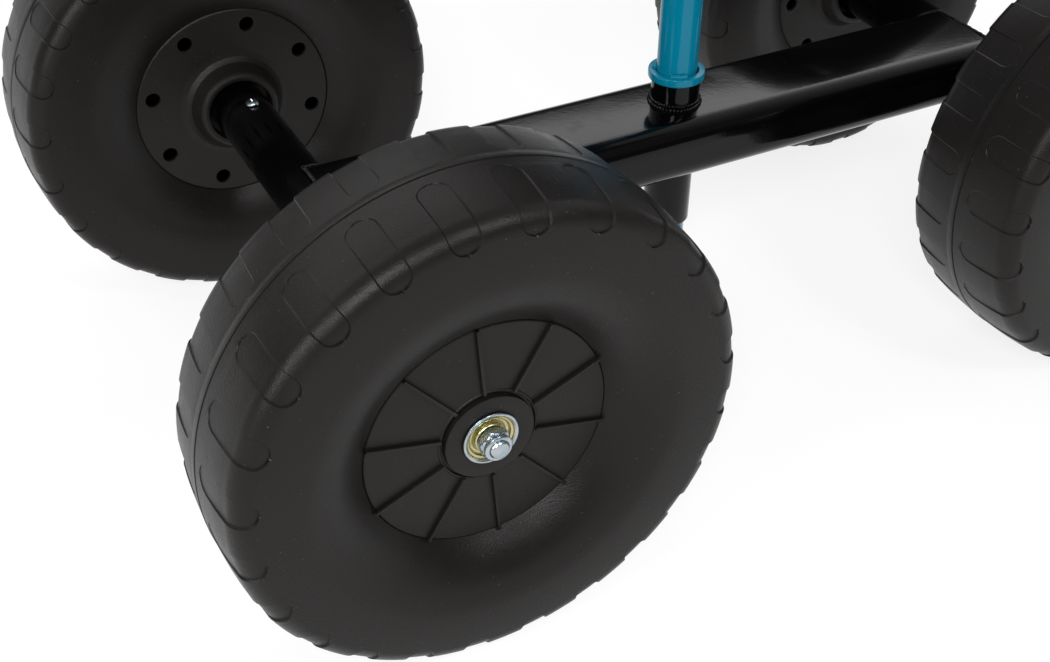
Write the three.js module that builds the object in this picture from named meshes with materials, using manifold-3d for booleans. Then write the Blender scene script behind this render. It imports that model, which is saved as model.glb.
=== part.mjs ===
/**
 * Garden hose reel cart: a four-wheeled H-shaped chassis whose central socket carries a swivelling
 * hose drum with a crank and a folding pull handle.
 *
 * Millimetres. +X is the travel direction, +Y is the cart's left side, +Z is up. The origin is on the
 * ground under the middle of the chassis.
 */
import * as THREE from 'three';
import { mergeVertices } from 'three/addons/utils/BufferGeometryUtils.js';
import Module from 'manifold-3d';

const wasm = await Module();
wasm.setup();

// ---- driving dimensions -------------------------------------------------------------------------
const GAP = 0.3; // between pieces that touch
const WHEELBASE = 563;
const TRACK = { rear: 440, front: 362 }; // between the wheels' middle planes

const WHEEL = {
  radius: 160,
  halfWidth: 53,
  shoulderRadius: 156,
  shoulderOffset: 42,
  wall: 4,
  discRadius: 75,
  boreGap: 1.2, // between the tyre's lip and the hub plates
  outerDiscOffset: 30.5,
  innerDiscOffset: 35.5,
  segments: 24,
};
const HUB = {
  plate: 3,
  boss: 28,
  barrel: 20,
  bearingSeat: 14.6,
  seatDepth: 22,
  ribs: 10,
  ribWidth: 2.2,
  ribHeight: 3,
  holes: 8,
  holeRadius: 6,
  holeCircle: 64,
  segments: 20,
};
const BEARING = { flange: 17.4, flangeThickness: 1.6, cup: 14.3, depth: 11, bore: 6.3, segments: 12 };
const STUD = { radius: 6, end: 47, plug: 18.2, plugLength: 66, shoulder: 8.5 };
const NUT = { acrossFlats: 18, height: 9.6 };

const AXLE_TUBE = { radius: 21, bore: 18.6, endOffset: 44 }; // endOffset is from the wheel's middle plane
const SCREW = { offset: 82, head: 5, headHeight: 2.6, shank: 2.2, length: 12 };
const BEAM = { width: 86, height: 46, corner: 16, wall: 3 };
const SOCKET = { radius: 18, bore: 15.5, below: 78, above: 43 }; // heights are from the axle line
const POST = { radius: 15, bore: 13, below: 93 };
const COLLAR = { radius: 21, thickness: 6 };
const POST_PIN = { radius: 2.5, halfLength: 20, below: 85 };

const CRADLE = { radius: 14, bore: 12, halfSpan: 150, bottom: 360, top: 515, bend: 60 };
const DRUM = { centre: 550, radius: 165, halfWidth: 112, flange: 8, core: 60, coreWall: 3, web: 3, windows: 6 };
const DRUM_AXLE = { radius: 10, bore: 7, crankEnd: 186, inletEnd: 176 };
const HEAD = { eye: 26, sleeve: 19, halfThickness: 17, bottom: 478, seat: 516 };
const CRANK = { inner: 172, thickness: 6, halfWidth: 12.5, throw: 130 };
const CRANK_GRIP = { radius: 14, start: 182, end: 266 };
const INLET = { radius: 15, end: 206, drop: 45, bendAt: 192, stem: 10.5 };
const HANDLE = { radius: 11, bore: 9.4, pivotX: 52, pivotZ: 442, below: 16, length: 545, bend: 60, lean: 4 };
const HANDLE_GRIP = { radius: 16, halfLength: 85 };
const BRACKET = { thickness: 4, radius: 17 };
const BOLT = { radius: 4, head: 7.5, headHeight: 5 };

// ---- finishes -----------------------------------------------------------------------------------
const finish = (color, roughness, metalness = 0) => new THREE.MeshStandardMaterial({ color, roughness, metalness });
const BLACK_COAT = finish(0x0b0b0c, 0.2, 0.1);
const TURQUOISE_COAT = finish(0x0a86a3, 0.3, 0.1);
const TYRE_PLASTIC = finish(0x2b2a29, 0.65);
const HUB_PLASTIC = finish(0x1c1c1c, 0.55);
const DRUM_PLASTIC = finish(0x202123, 0.5);
const FOAM = finish(0x161617, 0.9);
const ZINC = finish(0xc9cdd2, 0.3, 1);
const YELLOW_ZINC = finish(0xcdbb74, 0.35, 1);
const BRASS = finish(0xb9924a, 0.3, 1);

// ---- solids -------------------------------------------------------------------------------------
/** Turns a closed three.js geometry into a manifold solid. */
function solid(geometry) {
  const bare = geometry.index ? geometry.clone() : geometry;
  bare.deleteAttribute('normal');
  bare.deleteAttribute('uv');
  const merged = mergeVertices(bare, 1e-3);
  return new wasm.Manifold(
    new wasm.Mesh({
      numProp: 3,
      vertProperties: new Float32Array(merged.attributes.position.array),
      triVerts: new Uint32Array(merged.index.array),
    }),
  );
}

/** Turns a manifold solid back into a three.js geometry. */
function geometryOf(manifold) {
  const mesh = manifold.getMesh();
  const geometry = new THREE.BufferGeometry();
  geometry.setAttribute('position', new THREE.BufferAttribute(mesh.vertProperties, 3));
  geometry.setIndex(new THREE.BufferAttribute(mesh.triVerts, 1));
  geometry.computeVertexNormals();
  return geometry;
}

/** A solid of revolution about +Y from [radius, y] points that close on themselves or on the axis. */
function turned(points, segments = 16) {
  const outline = points.map(([radius, y]) => new THREE.Vector2(radius, y));
  const onAxis = points[0][0] === 0;
  if (!onAxis) outline.push(outline[0].clone());
  const area = outline.reduce((sum, p, i) => {
    const q = outline[(i + 1) % outline.length];
    return sum + p.x * q.y - q.x * p.y;
  }, 0);
  if (area < 0) outline.reverse();
  return new THREE.LatheGeometry(outline, segments);
}

/** A plain rod, or a tube if it has a bore, along +Y from y0 to y1. */
function rod(radius, y0, y1, bore = 0, segments = 16) {
  if (bore === 0) return turned([[0, y0], [radius, y0], [radius, y1], [0, y1]], segments);
  return turned([[bore, y0], [radius, y0], [radius, y1], [bore, y1]], segments);
}

/** Turns a geometry built along +Y so that it stands along +Z. */
const standing = (geometry) => geometry.rotateX(Math.PI / 2);

/** A flat plate: an outline in the X-Z plane, extruded from y0 to y1. */
function plate(shape, y0, y1, curveSegments = 6) {
  const geometry = new THREE.ExtrudeGeometry(shape, { depth: y1 - y0, bevelEnabled: false, curveSegments });
  return geometry.rotateX(Math.PI / 2).translate(0, y1, 0);
}

/** A round-cornered rectangle, centred on the origin. */
function roundedRectangle(width, height, radius) {
  const [x, y] = [width / 2, height / 2];
  const shape = new THREE.Shape();
  shape.moveTo(-x + radius, -y);
  shape.lineTo(x - radius, -y);
  shape.absarc(x - radius, -y + radius, radius, -Math.PI / 2, 0);
  shape.absarc(x - radius, y - radius, radius, 0, Math.PI / 2);
  shape.absarc(-x + radius, y - radius, radius, Math.PI / 2, Math.PI);
  shape.absarc(-x + radius, -y + radius, radius, Math.PI, Math.PI * 1.5);
  return shape;
}

/** Two circles joined by straight tangents, as a link or bracket has. */
function linkShape(x0, y0, r0, x1, y1, r1) {
  const angle = Math.atan2(y1 - y0, x1 - x0);
  const spread = Math.acos((r0 - r1) / Math.hypot(x1 - x0, y1 - y0));
  const shape = new THREE.Shape();
  shape.absarc(x0, y0, r0, angle + spread, angle - spread + 2 * Math.PI);
  shape.absarc(x1, y1, r1, angle - spread, angle + spread);
  return shape;
}

/** A path of straight runs joined by right-angle bends of one radius, with one step to each straight run. */
class BentRun extends THREE.Curve {
  constructor(corners, radius, bendSteps = 5) {
    super();
    this.points = [corners[0]];
    for (let i = 1; i < corners.length - 1; i += 1) {
      const back = corners[i - 1].clone().sub(corners[i]).setLength(radius);
      const ahead = corners[i + 1].clone().sub(corners[i]).setLength(radius);
      const centre = corners[i].clone().add(back).add(ahead);
      for (let step = 0; step <= bendSteps; step += 1) {
        const angle = (step / bendSteps) * (Math.PI / 2);
        const point = centre.clone().addScaledVector(ahead, -Math.cos(angle));
        this.points.push(point.addScaledVector(back, -Math.sin(angle)));
      }
    }
    this.points.push(corners[corners.length - 1]);
    this.steps = this.points.length - 1;
  }

  getPoint(t, target = new THREE.Vector3()) {
    const along = t * this.steps;
    const from = Math.min(Math.floor(along), this.steps - 1);
    return target.copy(this.points[from]).lerp(this.points[from + 1], along - from);
  }

  getPointAt(u, target) {
    return this.getPoint(u, target);
  }

  getTangentAt(u, target) {
    return this.getTangent(u, target);
  }
}

/** A round tube that follows a path. */
function pipe(path, radius, bore, curveSegments = 6) {
  const section = new THREE.Shape().absarc(0, 0, radius, 0, 2 * Math.PI);
  section.holes.push(new THREE.Path().absarc(0, 0, bore, 0, 2 * Math.PI, true));
  return new THREE.ExtrudeGeometry(section, { steps: path.steps, extrudePath: path, curveSegments });
}

const cart = new THREE.Group();

/** Adds one named piece to a group. */
function piece(name, geometry, material, group = cart) {
  const mesh = new THREE.Mesh(geometry, material);
  mesh.name = name;
  group.add(mesh);
  return mesh;
}

// ---- wheel: every offset is from the wheel's middle plane, and +Y points out of the cart -----------
/** The blow-moulded tyre, a thin shell that is open towards the hub. */
function tyre() {
  const w = WHEEL;
  const lip = w.discRadius + w.boreGap;
  const side = (sign, disc) => [
    [lip, sign * (disc - 10)],
    [lip, sign * (disc + 1)],
    [lip + 12, sign * (disc + 9)],
    [lip + 28, sign * (w.halfWidth - 5)],
    [w.radius - 34, sign * w.halfWidth],
    [w.radius - 16, sign * w.halfWidth],
    [w.shoulderRadius, sign * w.shoulderOffset],
  ];
  const inside = (sign, disc) => [
    [w.shoulderRadius - w.wall - 1, sign * (w.shoulderOffset - w.wall)],
    [lip + 28, sign * (w.halfWidth - 2 * w.wall - 3)],
    [lip + w.wall, sign * (disc - 10)],
  ];
  const outline = [
    ...side(1, w.outerDiscOffset),
    [w.radius, 0],
    ...side(-1, w.innerDiscOffset).reverse(),
    ...inside(-1, w.innerDiscOffset).reverse(),
    ...inside(1, w.outerDiscOffset),
  ];
  return turned(outline, w.segments);
}

/** The ribbed outer hub plate with the barrel that seats the outer bearing. */
function outerHub() {
  const face = WHEEL.outerDiscOffset;
  const disc = turned(
    [
      [HUB.bearingSeat, face + HUB.ribHeight],
      [HUB.boss, face + HUB.ribHeight],
      [HUB.boss, face],
      [WHEEL.discRadius, face],
      [WHEEL.discRadius, face - HUB.plate],
      [HUB.barrel, face - HUB.plate],
      [HUB.barrel, face - HUB.seatDepth],
      [HUB.bearingSeat, face - HUB.seatDepth],
    ],
    HUB.segments,
  );
  let hub = solid(disc);
  const [from, to] = [HUB.boss - 1, WHEEL.discRadius - 2];
  for (let i = 0; i < HUB.ribs; i += 1) {
    const rib = new THREE.BoxGeometry(to - from, HUB.ribHeight, HUB.ribWidth);
    rib.translate((from + to) / 2, face + HUB.ribHeight / 2 - 0.5, 0);
    rib.rotateY((i * 2 * Math.PI) / HUB.ribs);
    hub = hub.add(solid(rib));
  }
  return geometryOf(hub);
}

/** The inner hub plate, with its ring of holes and the conical boss that the axle tube enters. */
function innerHub() {
  const face = WHEEL.innerDiscOffset;
  const rim = face + 16;
  const disc = turned(
    [
      [HUB.bearingSeat, -face - 2],
      [AXLE_TUBE.radius + 4, -face - 2],
      [AXLE_TUBE.radius + 4, -rim],
      [HUB.boss, -rim],
      [HUB.boss + 4, -rim + 4],
      [HUB.boss + 12, -face],
      [WHEEL.discRadius, -face],
      [WHEEL.discRadius, -face + HUB.plate],
      [HUB.barrel, -face + HUB.plate],
      [HUB.barrel, -face + HUB.seatDepth],
      [HUB.bearingSeat, -face + HUB.seatDepth],
    ],
    HUB.segments,
  );
  let hub = solid(disc);
  for (let i = 0; i < HUB.holes; i += 1) {
    const hole = rod(HUB.holeRadius, -face - 2, -face + HUB.plate + 2, 0, 6);
    hole.translate(HUB.holeCircle, 0, 0).rotateY((i * 2 * Math.PI) / HUB.holes);
    hub = hub.subtract(solid(hole));
  }
  return geometryOf(hub);
}

/** A stamped flanged ball bearing. Its flange lies on the face at that offset and its cup goes inwards. */
function bearing(face, side) {
  const b = BEARING;
  const flangeBack = face + GAP;
  const outline = [
    [b.bore, flangeBack - b.depth],
    [b.cup, flangeBack - b.depth],
    [b.cup, flangeBack],
    [b.flange, flangeBack],
    [b.flange, flangeBack + b.flangeThickness],
    [b.bore, flangeBack + b.flangeThickness],
  ];
  return turned(outline.map(([radius, y]) => [radius, side * y]), b.segments);
}

/** Offset of the outer bearing's outside face, which the lock nut bears on. */
const NUT_SEAT = WHEEL.outerDiscOffset + HUB.ribHeight + GAP + BEARING.flangeThickness + GAP;

/** The stub axle: a plug inside the axle tube, a shoulder and the stud that carries the wheel. */
function stubAxle() {
  const plugEnd = -AXLE_TUBE.endOffset - 2;
  const shoulderEnd = -WHEEL.innerDiscOffset - 2 - BEARING.flangeThickness - 2 * GAP;
  return turned(
    [
      [0, plugEnd - STUD.plugLength],
      [STUD.plug, plugEnd - STUD.plugLength],
      [STUD.plug, plugEnd],
      [STUD.shoulder, plugEnd],
      [STUD.shoulder, shoulderEnd],
      [STUD.radius, shoulderEnd],
      [STUD.radius, STUD.end - 1.5],
      [STUD.radius - 1.5, STUD.end],
      [0, STUD.end],
    ],
    12,
  );
}

/** A hexagonal lock nut with its round crimped collar. */
function lockNut() {
  const corner = NUT.acrossFlats / Math.sqrt(3);
  const bore = STUD.radius + GAP;
  const top = NUT_SEAT + NUT.height;
  const hexagon = rod(corner, NUT_SEAT, top - 3, bore, 6);
  const collar = rod(NUT.acrossFlats / 2 - 1, top - 4, top, bore, 18);
  return geometryOf(solid(hexagon).add(solid(collar)).subtract(solid(rod(bore, NUT_SEAT - 1, top + 1, 0, 18))));
}

/** A pan-head screw that stands in the top of the axle tube and holds the stub axle. */
function axleScrew() {
  const seat = AXLE_TUBE.radius + GAP;
  const screw = turned(
    [
      [0, seat - SCREW.length],
      [SCREW.shank, seat - SCREW.length],
      [SCREW.shank, seat],
      [SCREW.head, seat],
      [SCREW.head * 0.8, seat + SCREW.headHeight],
      [0, seat + SCREW.headHeight],
    ],
    10,
  );
  return standing(screw).translate(0, -SCREW.offset, 0);
}

/** The hole that the screw stands in, as a standing rod at the same place. */
const screwHole = () => standing(rod(SCREW.shank + GAP, 0, AXLE_TUBE.radius + 5, 0, 8));

/** One wheel with its stub axle, nut and screw, at one corner of the chassis. */
function corner(name, x, y, side) {
  const group = new THREE.Group();
  group.position.set(x, y, WHEEL.radius);
  group.rotation.z = side > 0 ? 0 : Math.PI;
  piece(`${name}_tyre`, tyre(), TYRE_PLASTIC, group);
  piece(`${name}_outer_hub`, outerHub(), HUB_PLASTIC, group);
  piece(`${name}_inner_hub`, innerHub(), HUB_PLASTIC, group);
  piece(`${name}_outer_bearing`, bearing(WHEEL.outerDiscOffset + HUB.ribHeight, 1), YELLOW_ZINC, group);
  piece(`${name}_inner_bearing`, bearing(WHEEL.innerDiscOffset + 2, -1), YELLOW_ZINC, group);
  const hole = screwHole().translate(0, -SCREW.offset, 0);
  piece(`${name}_stub_axle`, geometryOf(solid(stubAxle()).subtract(solid(hole))), ZINC, group);
  piece(`${name}_lock_nut`, lockNut(), ZINC, group);
  piece(`${name}_axle_screw`, axleScrew(), ZINC, group);
  cart.add(group);
}

// ---- chassis ------------------------------------------------------------------------------------
/** An axle tube across the cart, with the holes for its two screws. */
function axleTube(x, track) {
  const end = track / 2 - AXLE_TUBE.endOffset;
  let tube = solid(rod(AXLE_TUBE.radius, -end, end, AXLE_TUBE.bore, 24));
  for (const side of [-1, 1]) {
    tube = tube.subtract(solid(screwHole().translate(0, side * (track / 2 - SCREW.offset), 0)));
  }
  return geometryOf(tube).translate(x, 0, WHEEL.radius);
}

/** The main beam between the axle tubes, coped to them and drilled for the post socket. */
function mainBeam() {
  const b = BEAM;
  const section = roundedRectangle(b.width, b.height, b.corner);
  section.holes.push(roundedRectangle(b.width - 2 * b.wall, b.height - 2 * b.wall, b.corner - b.wall));
  const length = WHEELBASE;
  const blank = new THREE.ExtrudeGeometry(section, { depth: length, bevelEnabled: false, curveSegments: 4 });
  blank.rotateX(Math.PI / 2).rotateZ(Math.PI / 2).translate(-length / 2, 0, 0);
  let beam = solid(blank).subtract(solid(standing(rod(SOCKET.radius + GAP, -b.height, b.height, 0, 24))));
  for (const side of [-1, 1]) {
    const cope = rod(AXLE_TUBE.radius + GAP, -b.width, b.width, 0, 24).translate((side * WHEELBASE) / 2, 0, 0);
    const beyond = new THREE.BoxGeometry(AXLE_TUBE.radius * 2, b.width * 2, b.height * 2);
    beyond.translate(side * (WHEELBASE / 2 + AXLE_TUBE.radius), 0, 0);
    beam = beam.subtract(solid(cope)).subtract(solid(beyond));
  }
  return geometryOf(beam).translate(0, 0, WHEEL.radius);
}

piece('main_beam', mainBeam(), BLACK_COAT);
piece('rear_axle_tube', axleTube(-WHEELBASE / 2, TRACK.rear), BLACK_COAT);
piece('front_axle_tube', axleTube(WHEELBASE / 2, TRACK.front), BLACK_COAT);
const socketTop = WHEEL.radius + SOCKET.above;
const socket = rod(SOCKET.radius, WHEEL.radius - SOCKET.below, socketTop, SOCKET.bore, 24);
piece('post_socket', standing(socket), BLACK_COAT);

for (const [end, x] of [['rear', -WHEELBASE / 2], ['front', WHEELBASE / 2]]) {
  for (const [name, side] of [['right', -1], ['left', 1]]) {
    corner(`${end}_${name}`, x, (side * TRACK[end]) / 2, side);
  }
}

// ---- turret: what swivels on the chassis ----------------------------------------------------------
/** The post, coped to the cradle's bottom run and drilled for its pin. */
function swivelPost() {
  const blank = standing(rod(POST.radius, WHEEL.radius - POST.below, CRADLE.bottom, POST.bore, 24));
  const cope = rod(CRADLE.radius + GAP, -40, 40, 0, 24).translate(0, 0, CRADLE.bottom);
  const hole = rod(POST_PIN.radius + GAP, -40, 40, 0, 8).translate(0, 0, WHEEL.radius - POST_PIN.below);
  return geometryOf(solid(blank).subtract(solid(cope)).subtract(solid(hole)));
}

/** The U-shaped cradle that holds the drum between its uprights. */
function cradleFrame() {
  const { halfSpan, bottom, top, bend, radius, bore } = CRADLE;
  const corners = [
    new THREE.Vector3(0, -halfSpan, top),
    new THREE.Vector3(0, -halfSpan, bottom),
    new THREE.Vector3(0, halfSpan, bottom),
    new THREE.Vector3(0, halfSpan, top),
  ];
  return pipe(new BentRun(corners, bend), radius, bore);
}

/** A moulded head: a sleeve over the top of an upright and an eye for the drum's axle. */
function axleHead(side) {
  const h = HEAD;
  const shape = new THREE.Shape();
  shape.moveTo(-h.sleeve, h.bottom);
  shape.lineTo(h.sleeve, h.bottom);
  shape.absarc(0, DRUM.centre, h.eye, -0.3, Math.PI + 0.3);
  const centre = side * CRADLE.halfSpan;
  const blank = plate(shape, centre - h.halfThickness, centre + h.halfThickness);
  const seat = standing(rod(CRADLE.radius + GAP, h.bottom - 5, h.seat, 0, 20)).translate(0, centre, 0);
  const bore = rod(DRUM_AXLE.radius + GAP, centre - 30, centre + 30, 0, 20).translate(0, 0, DRUM.centre);
  return geometryOf(solid(blank).subtract(solid(seat)).subtract(solid(bore)));
}

/** A side plate on an upright that carries the pull handle's pivot. */
function handleBracket(side) {
  const shape = linkShape(0, HANDLE.pivotZ, BRACKET.radius - 1, HANDLE.pivotX, HANDLE.pivotZ, BRACKET.radius);
  const hole = new THREE.Path().absarc(HANDLE.pivotX, HANDLE.pivotZ, BOLT.radius + GAP, 0, 2 * Math.PI, true);
  shape.holes.push(hole);
  const outer = CRADLE.halfSpan - CRADLE.radius - GAP;
  const [y0, y1] = side > 0 ? [outer - BRACKET.thickness, outer] : [-outer, -outer + BRACKET.thickness];
  return plate(shape, y0, y1);
}

/** A pivot bolt through a handle leg and its bracket, with its nut. */
function handleBolt(side) {
  const bracketInner = CRADLE.halfSpan - CRADLE.radius - GAP - BRACKET.thickness;
  const legOuter = CRADLE.halfSpan + HANDLE.radius;
  const bolt = turned(
    [
      [0, bracketInner - GAP - 6],
      [BOLT.head - 1, bracketInner - GAP - 6],
      [BOLT.head - 1, bracketInner - GAP],
      [BOLT.radius, bracketInner - GAP],
      [BOLT.radius, legOuter + GAP],
      [BOLT.head, legOuter + GAP],
      [BOLT.head, legOuter + GAP + BOLT.headHeight],
      [0, legOuter + GAP + BOLT.headHeight],
    ],
    12,
  );
  return bolt.rotateZ(side > 0 ? 0 : Math.PI).translate(HANDLE.pivotX, 0, HANDLE.pivotZ);
}

/** The brass elbow that lets water into the turning axle. */
function inletElbow() {
  const start = CRADLE.halfSpan + HEAD.halfThickness + 2;
  const body = solid(rod(INLET.radius, start, INLET.end)).add(
    solid(standing(rod(INLET.stem, -INLET.drop, 0)).translate(0, INLET.bendAt, 0)),
  );
  const waterway = solid(rod(DRUM_AXLE.bore, start, INLET.end - 4)).add(
    solid(standing(rod(DRUM_AXLE.bore, -INLET.drop - 2, 0)).translate(0, INLET.bendAt, 0)),
  );
  const seat = solid(rod(DRUM_AXLE.radius + GAP, start - 1, DRUM_AXLE.inletEnd + GAP, 0, 20));
  return geometryOf(body.subtract(waterway).subtract(seat)).translate(0, 0, DRUM.centre);
}

/** The quick connector on the elbow's lower end. */
function inletConnector() {
  const top = DRUM.centre - INLET.drop - GAP;
  const outline = [
    [7, top - 34],
    [8.6, top - 34],
    [8.6, top - 22],
    [14, top - 18],
    [14, top],
    [7, top],
  ];
  return standing(turned(outline, 16)).translate(0, INLET.bendAt, 0);
}

piece('swivel_post', swivelPost(), TURQUOISE_COAT);
const collarBottom = socketTop + GAP;
const collar = rod(COLLAR.radius, collarBottom, collarBottom + COLLAR.thickness, POST.radius + GAP, 24);
piece('post_collar', standing(collar), TURQUOISE_COAT);
const pin = rod(POST_PIN.radius, -POST_PIN.halfLength, POST_PIN.halfLength, 0, 8);
piece('post_pin', pin.translate(0, 0, WHEEL.radius - POST_PIN.below), ZINC);
piece('cradle_frame', cradleFrame(), TURQUOISE_COAT);
for (const [name, side] of [['right', -1], ['left', 1]]) {
  piece(`${name}_axle_head`, axleHead(side), DRUM_PLASTIC);
  piece(`${name}_handle_bracket`, handleBracket(side), TURQUOISE_COAT);
  piece(`${name}_handle_bolt`, handleBolt(side), ZINC);
}
piece('inlet_elbow', inletElbow(), BRASS);
piece('inlet_connector', inletConnector(), DRUM_PLASTIC);

// ---- drum: what the crank turns -------------------------------------------------------------------
/** A moulded side disc with a rolled rim, a hub and rounded windows between its spokes. */
function drumFlange(side) {
  const d = DRUM;
  const [inner, outer] = [d.halfWidth - d.flange, d.halfWidth];
  const disc = turned(
    [
      [DRUM_AXLE.radius + GAP, inner],
      [d.core + 8, inner],
      [d.core + 8, outer - d.web],
      [d.radius - 9, outer - d.web],
      [d.radius - 9, inner],
      [d.radius, inner],
      [d.radius, outer],
      [DRUM_AXLE.radius + GAP, outer],
    ],
    30,
  );
  let flange = solid(disc);
  const window = new THREE.Shape();
  const halfAngle = 0.33;
  window.absarc(0, 0, d.radius - 20, -halfAngle, halfAngle);
  window.absarc(0, 0, d.core + 20, halfAngle, -halfAngle, true);
  for (let i = 0; i < d.windows; i += 1) {
    const cut = plate(window, inner - 2, outer + 2, 2);
    cut.rotateY((i * 2 * Math.PI) / d.windows + Math.PI / 2);
    flange = flange.subtract(solid(cut));
  }
  return geometryOf(flange).rotateZ(side > 0 ? 0 : Math.PI).translate(0, 0, d.centre);
}

/** The hollow core that the hose winds on. */
function drumCore() {
  const end = DRUM.halfWidth - DRUM.flange - GAP;
  return rod(DRUM.core, -end, end, DRUM.core - DRUM.coreWall, 28).translate(0, 0, DRUM.centre);
}

/** The barbed outlet that the hose is clamped on, standing off the core. */
function hoseOutlet() {
  const start = DRUM.core + GAP;
  const outline = [
    [4, start],
    [11, start],
    [11, start + 5],
    [6.5, start + 8],
    [8, start + 12],
    [6.5, start + 17],
    [8, start + 21],
    [6.5, start + 30],
    [4, start + 30],
  ];
  return standing(turned(outline, 12)).rotateX(Math.PI).translate(0, -70, DRUM.centre);
}

/** The flat crank arm, hanging from the axle's end. */
function crankArm() {
  const c = CRANK;
  const shape = linkShape(0, DRUM.centre, c.halfWidth + 4, 0, DRUM.centre - c.throw, c.halfWidth);
  const bolt = new THREE.Path().absarc(0, DRUM.centre - c.throw, BOLT.radius + GAP, 0, 2 * Math.PI, true);
  const eye = new THREE.Path().absarc(0, DRUM.centre, DRUM_AXLE.radius + GAP, 0, 2 * Math.PI, true);
  shape.holes.push(bolt, eye);
  return plate(shape, -c.inner - c.thickness, -c.inner, 10);
}

/** The bolt that the crank grip turns on, with its nut. */
function crankBolt() {
  const armInner = CRANK.inner - GAP;
  const headSeat = CRANK_GRIP.end + GAP;
  const bolt = turned(
    [
      [0, armInner - 5],
      [BOLT.head - 1, armInner - 5],
      [BOLT.head - 1, armInner],
      [BOLT.radius, armInner],
      [BOLT.radius, headSeat],
      [BOLT.head, headSeat],
      [BOLT.head, headSeat + BOLT.headHeight],
      [0, headSeat + BOLT.headHeight],
    ],
    12,
  );
  return bolt.rotateZ(Math.PI).translate(0, 0, DRUM.centre - CRANK.throw);
}

/** The loose grip on the crank, swollen in the middle. */
function crankGrip() {
  const { radius, start, end } = CRANK_GRIP;
  const bore = BOLT.radius + GAP;
  const outline = [
    [bore, start],
    [radius - 1, start],
    [radius - 3, start + 10],
    [radius, (start + end) / 2],
    [radius - 3, end - 10],
    [radius - 1, end],
    [bore, end],
  ];
  const grip = turned(outline, 14).rotateZ(Math.PI);
  return grip.translate(0, 0, DRUM.centre - CRANK.throw);
}

piece('drum_core', drumCore(), DRUM_PLASTIC);
piece('right_drum_flange', drumFlange(-1), DRUM_PLASTIC);
piece('left_drum_flange', drumFlange(1), DRUM_PLASTIC);
const drumAxle = rod(DRUM_AXLE.radius, -DRUM_AXLE.crankEnd, DRUM_AXLE.inletEnd, DRUM_AXLE.bore, 16);
piece('drum_axle', drumAxle.translate(0, 0, DRUM.centre), ZINC);
piece('hose_outlet', hoseOutlet(), BRASS);
piece('crank_arm', crankArm(), TURQUOISE_COAT);
piece('crank_bolt', crankBolt(), ZINC);
piece('crank_grip', crankGrip(), DRUM_PLASTIC);

// ---- pull handle: it leans back against its stop and folds forward ----------------------------------
/** The handle's own frame: its origin on the pivot, its legs along +Z. */
function pullHandle() {
  const { radius, bore, below, length, bend } = HANDLE;
  const half = CRADLE.halfSpan;
  const corners = [
    new THREE.Vector3(0, -half, -below),
    new THREE.Vector3(0, -half, length),
    new THREE.Vector3(0, half, length),
    new THREE.Vector3(0, half, -below),
  ];
  const hole = rod(BOLT.radius + GAP, -half - 30, half + 30, 0, 10);
  return geometryOf(solid(pipe(new BentRun(corners, bend), radius, bore)).subtract(solid(hole)));
}

const handle = new THREE.Group();
handle.position.set(HANDLE.pivotX, 0, HANDLE.pivotZ);
handle.rotation.y = THREE.MathUtils.degToRad(-HANDLE.lean);
cart.add(handle);
piece('pull_handle', pullHandle(), TURQUOISE_COAT, handle);
const foam = rod(HANDLE_GRIP.radius, -HANDLE_GRIP.halfLength, HANDLE_GRIP.halfLength, HANDLE.radius + GAP, 16);
piece('handle_grip', foam.translate(0, 0, HANDLE.length), FOAM, handle);

export default cart;
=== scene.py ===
"""Looks of a garden hose reel cart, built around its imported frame.

The cart is a black H-shaped chassis on four moulded wheels, with a turquoise post that swivels and
carries a crank drum and a folding pull handle. Sizes are in millimetres until a form becomes a piece,
and in metres in the finishes and the studio.
"""

from __future__ import annotations

import logging
import math
from dataclasses import dataclass, field
from enum import Enum
from functools import reduce
from typing import Any, Callable, Iterable, Sequence

import bmesh
import bpy
import numpy as np
from mathutils import Matrix, Vector

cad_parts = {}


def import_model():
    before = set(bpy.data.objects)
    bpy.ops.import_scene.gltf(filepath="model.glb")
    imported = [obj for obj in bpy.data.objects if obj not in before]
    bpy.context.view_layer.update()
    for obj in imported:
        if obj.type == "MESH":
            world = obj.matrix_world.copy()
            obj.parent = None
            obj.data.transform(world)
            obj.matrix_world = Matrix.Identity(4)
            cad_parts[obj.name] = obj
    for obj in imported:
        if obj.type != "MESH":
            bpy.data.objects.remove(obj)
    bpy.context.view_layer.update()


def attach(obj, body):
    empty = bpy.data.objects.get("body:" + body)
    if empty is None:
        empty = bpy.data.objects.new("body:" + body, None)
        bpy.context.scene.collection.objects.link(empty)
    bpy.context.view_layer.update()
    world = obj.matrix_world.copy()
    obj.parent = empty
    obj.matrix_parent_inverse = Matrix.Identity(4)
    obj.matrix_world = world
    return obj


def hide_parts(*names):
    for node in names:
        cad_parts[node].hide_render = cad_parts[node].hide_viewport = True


LOG = logging.getLogger("hose_cart")
MM = 0.001
FULL_TURN = 2 * math.pi
Point = tuple[float, float]
Colour = tuple[float, float, float]
Shape = Callable[[float, float, float], float]


# ---- node trees ---------------------------------------------------------------------------------
def _operator(operation: str, reflected: bool = False) -> Callable[[Value, Any], Value]:
    """Makes one arithmetic operator of Value.

    Args:
        operation: the Math node's operation.
        reflected: whether the value is the second operand.

    Returns:
        The operator's method.
    """
    def operator(value: Value, other: Any) -> Value:
        """Adds the Math node and hands back its result."""
        operands = (other, value) if reflected else (value, other)
        return value.graph.node("ShaderNodeMath", {"operation": operation}, dict(enumerate(operands)))
    return operator


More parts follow.
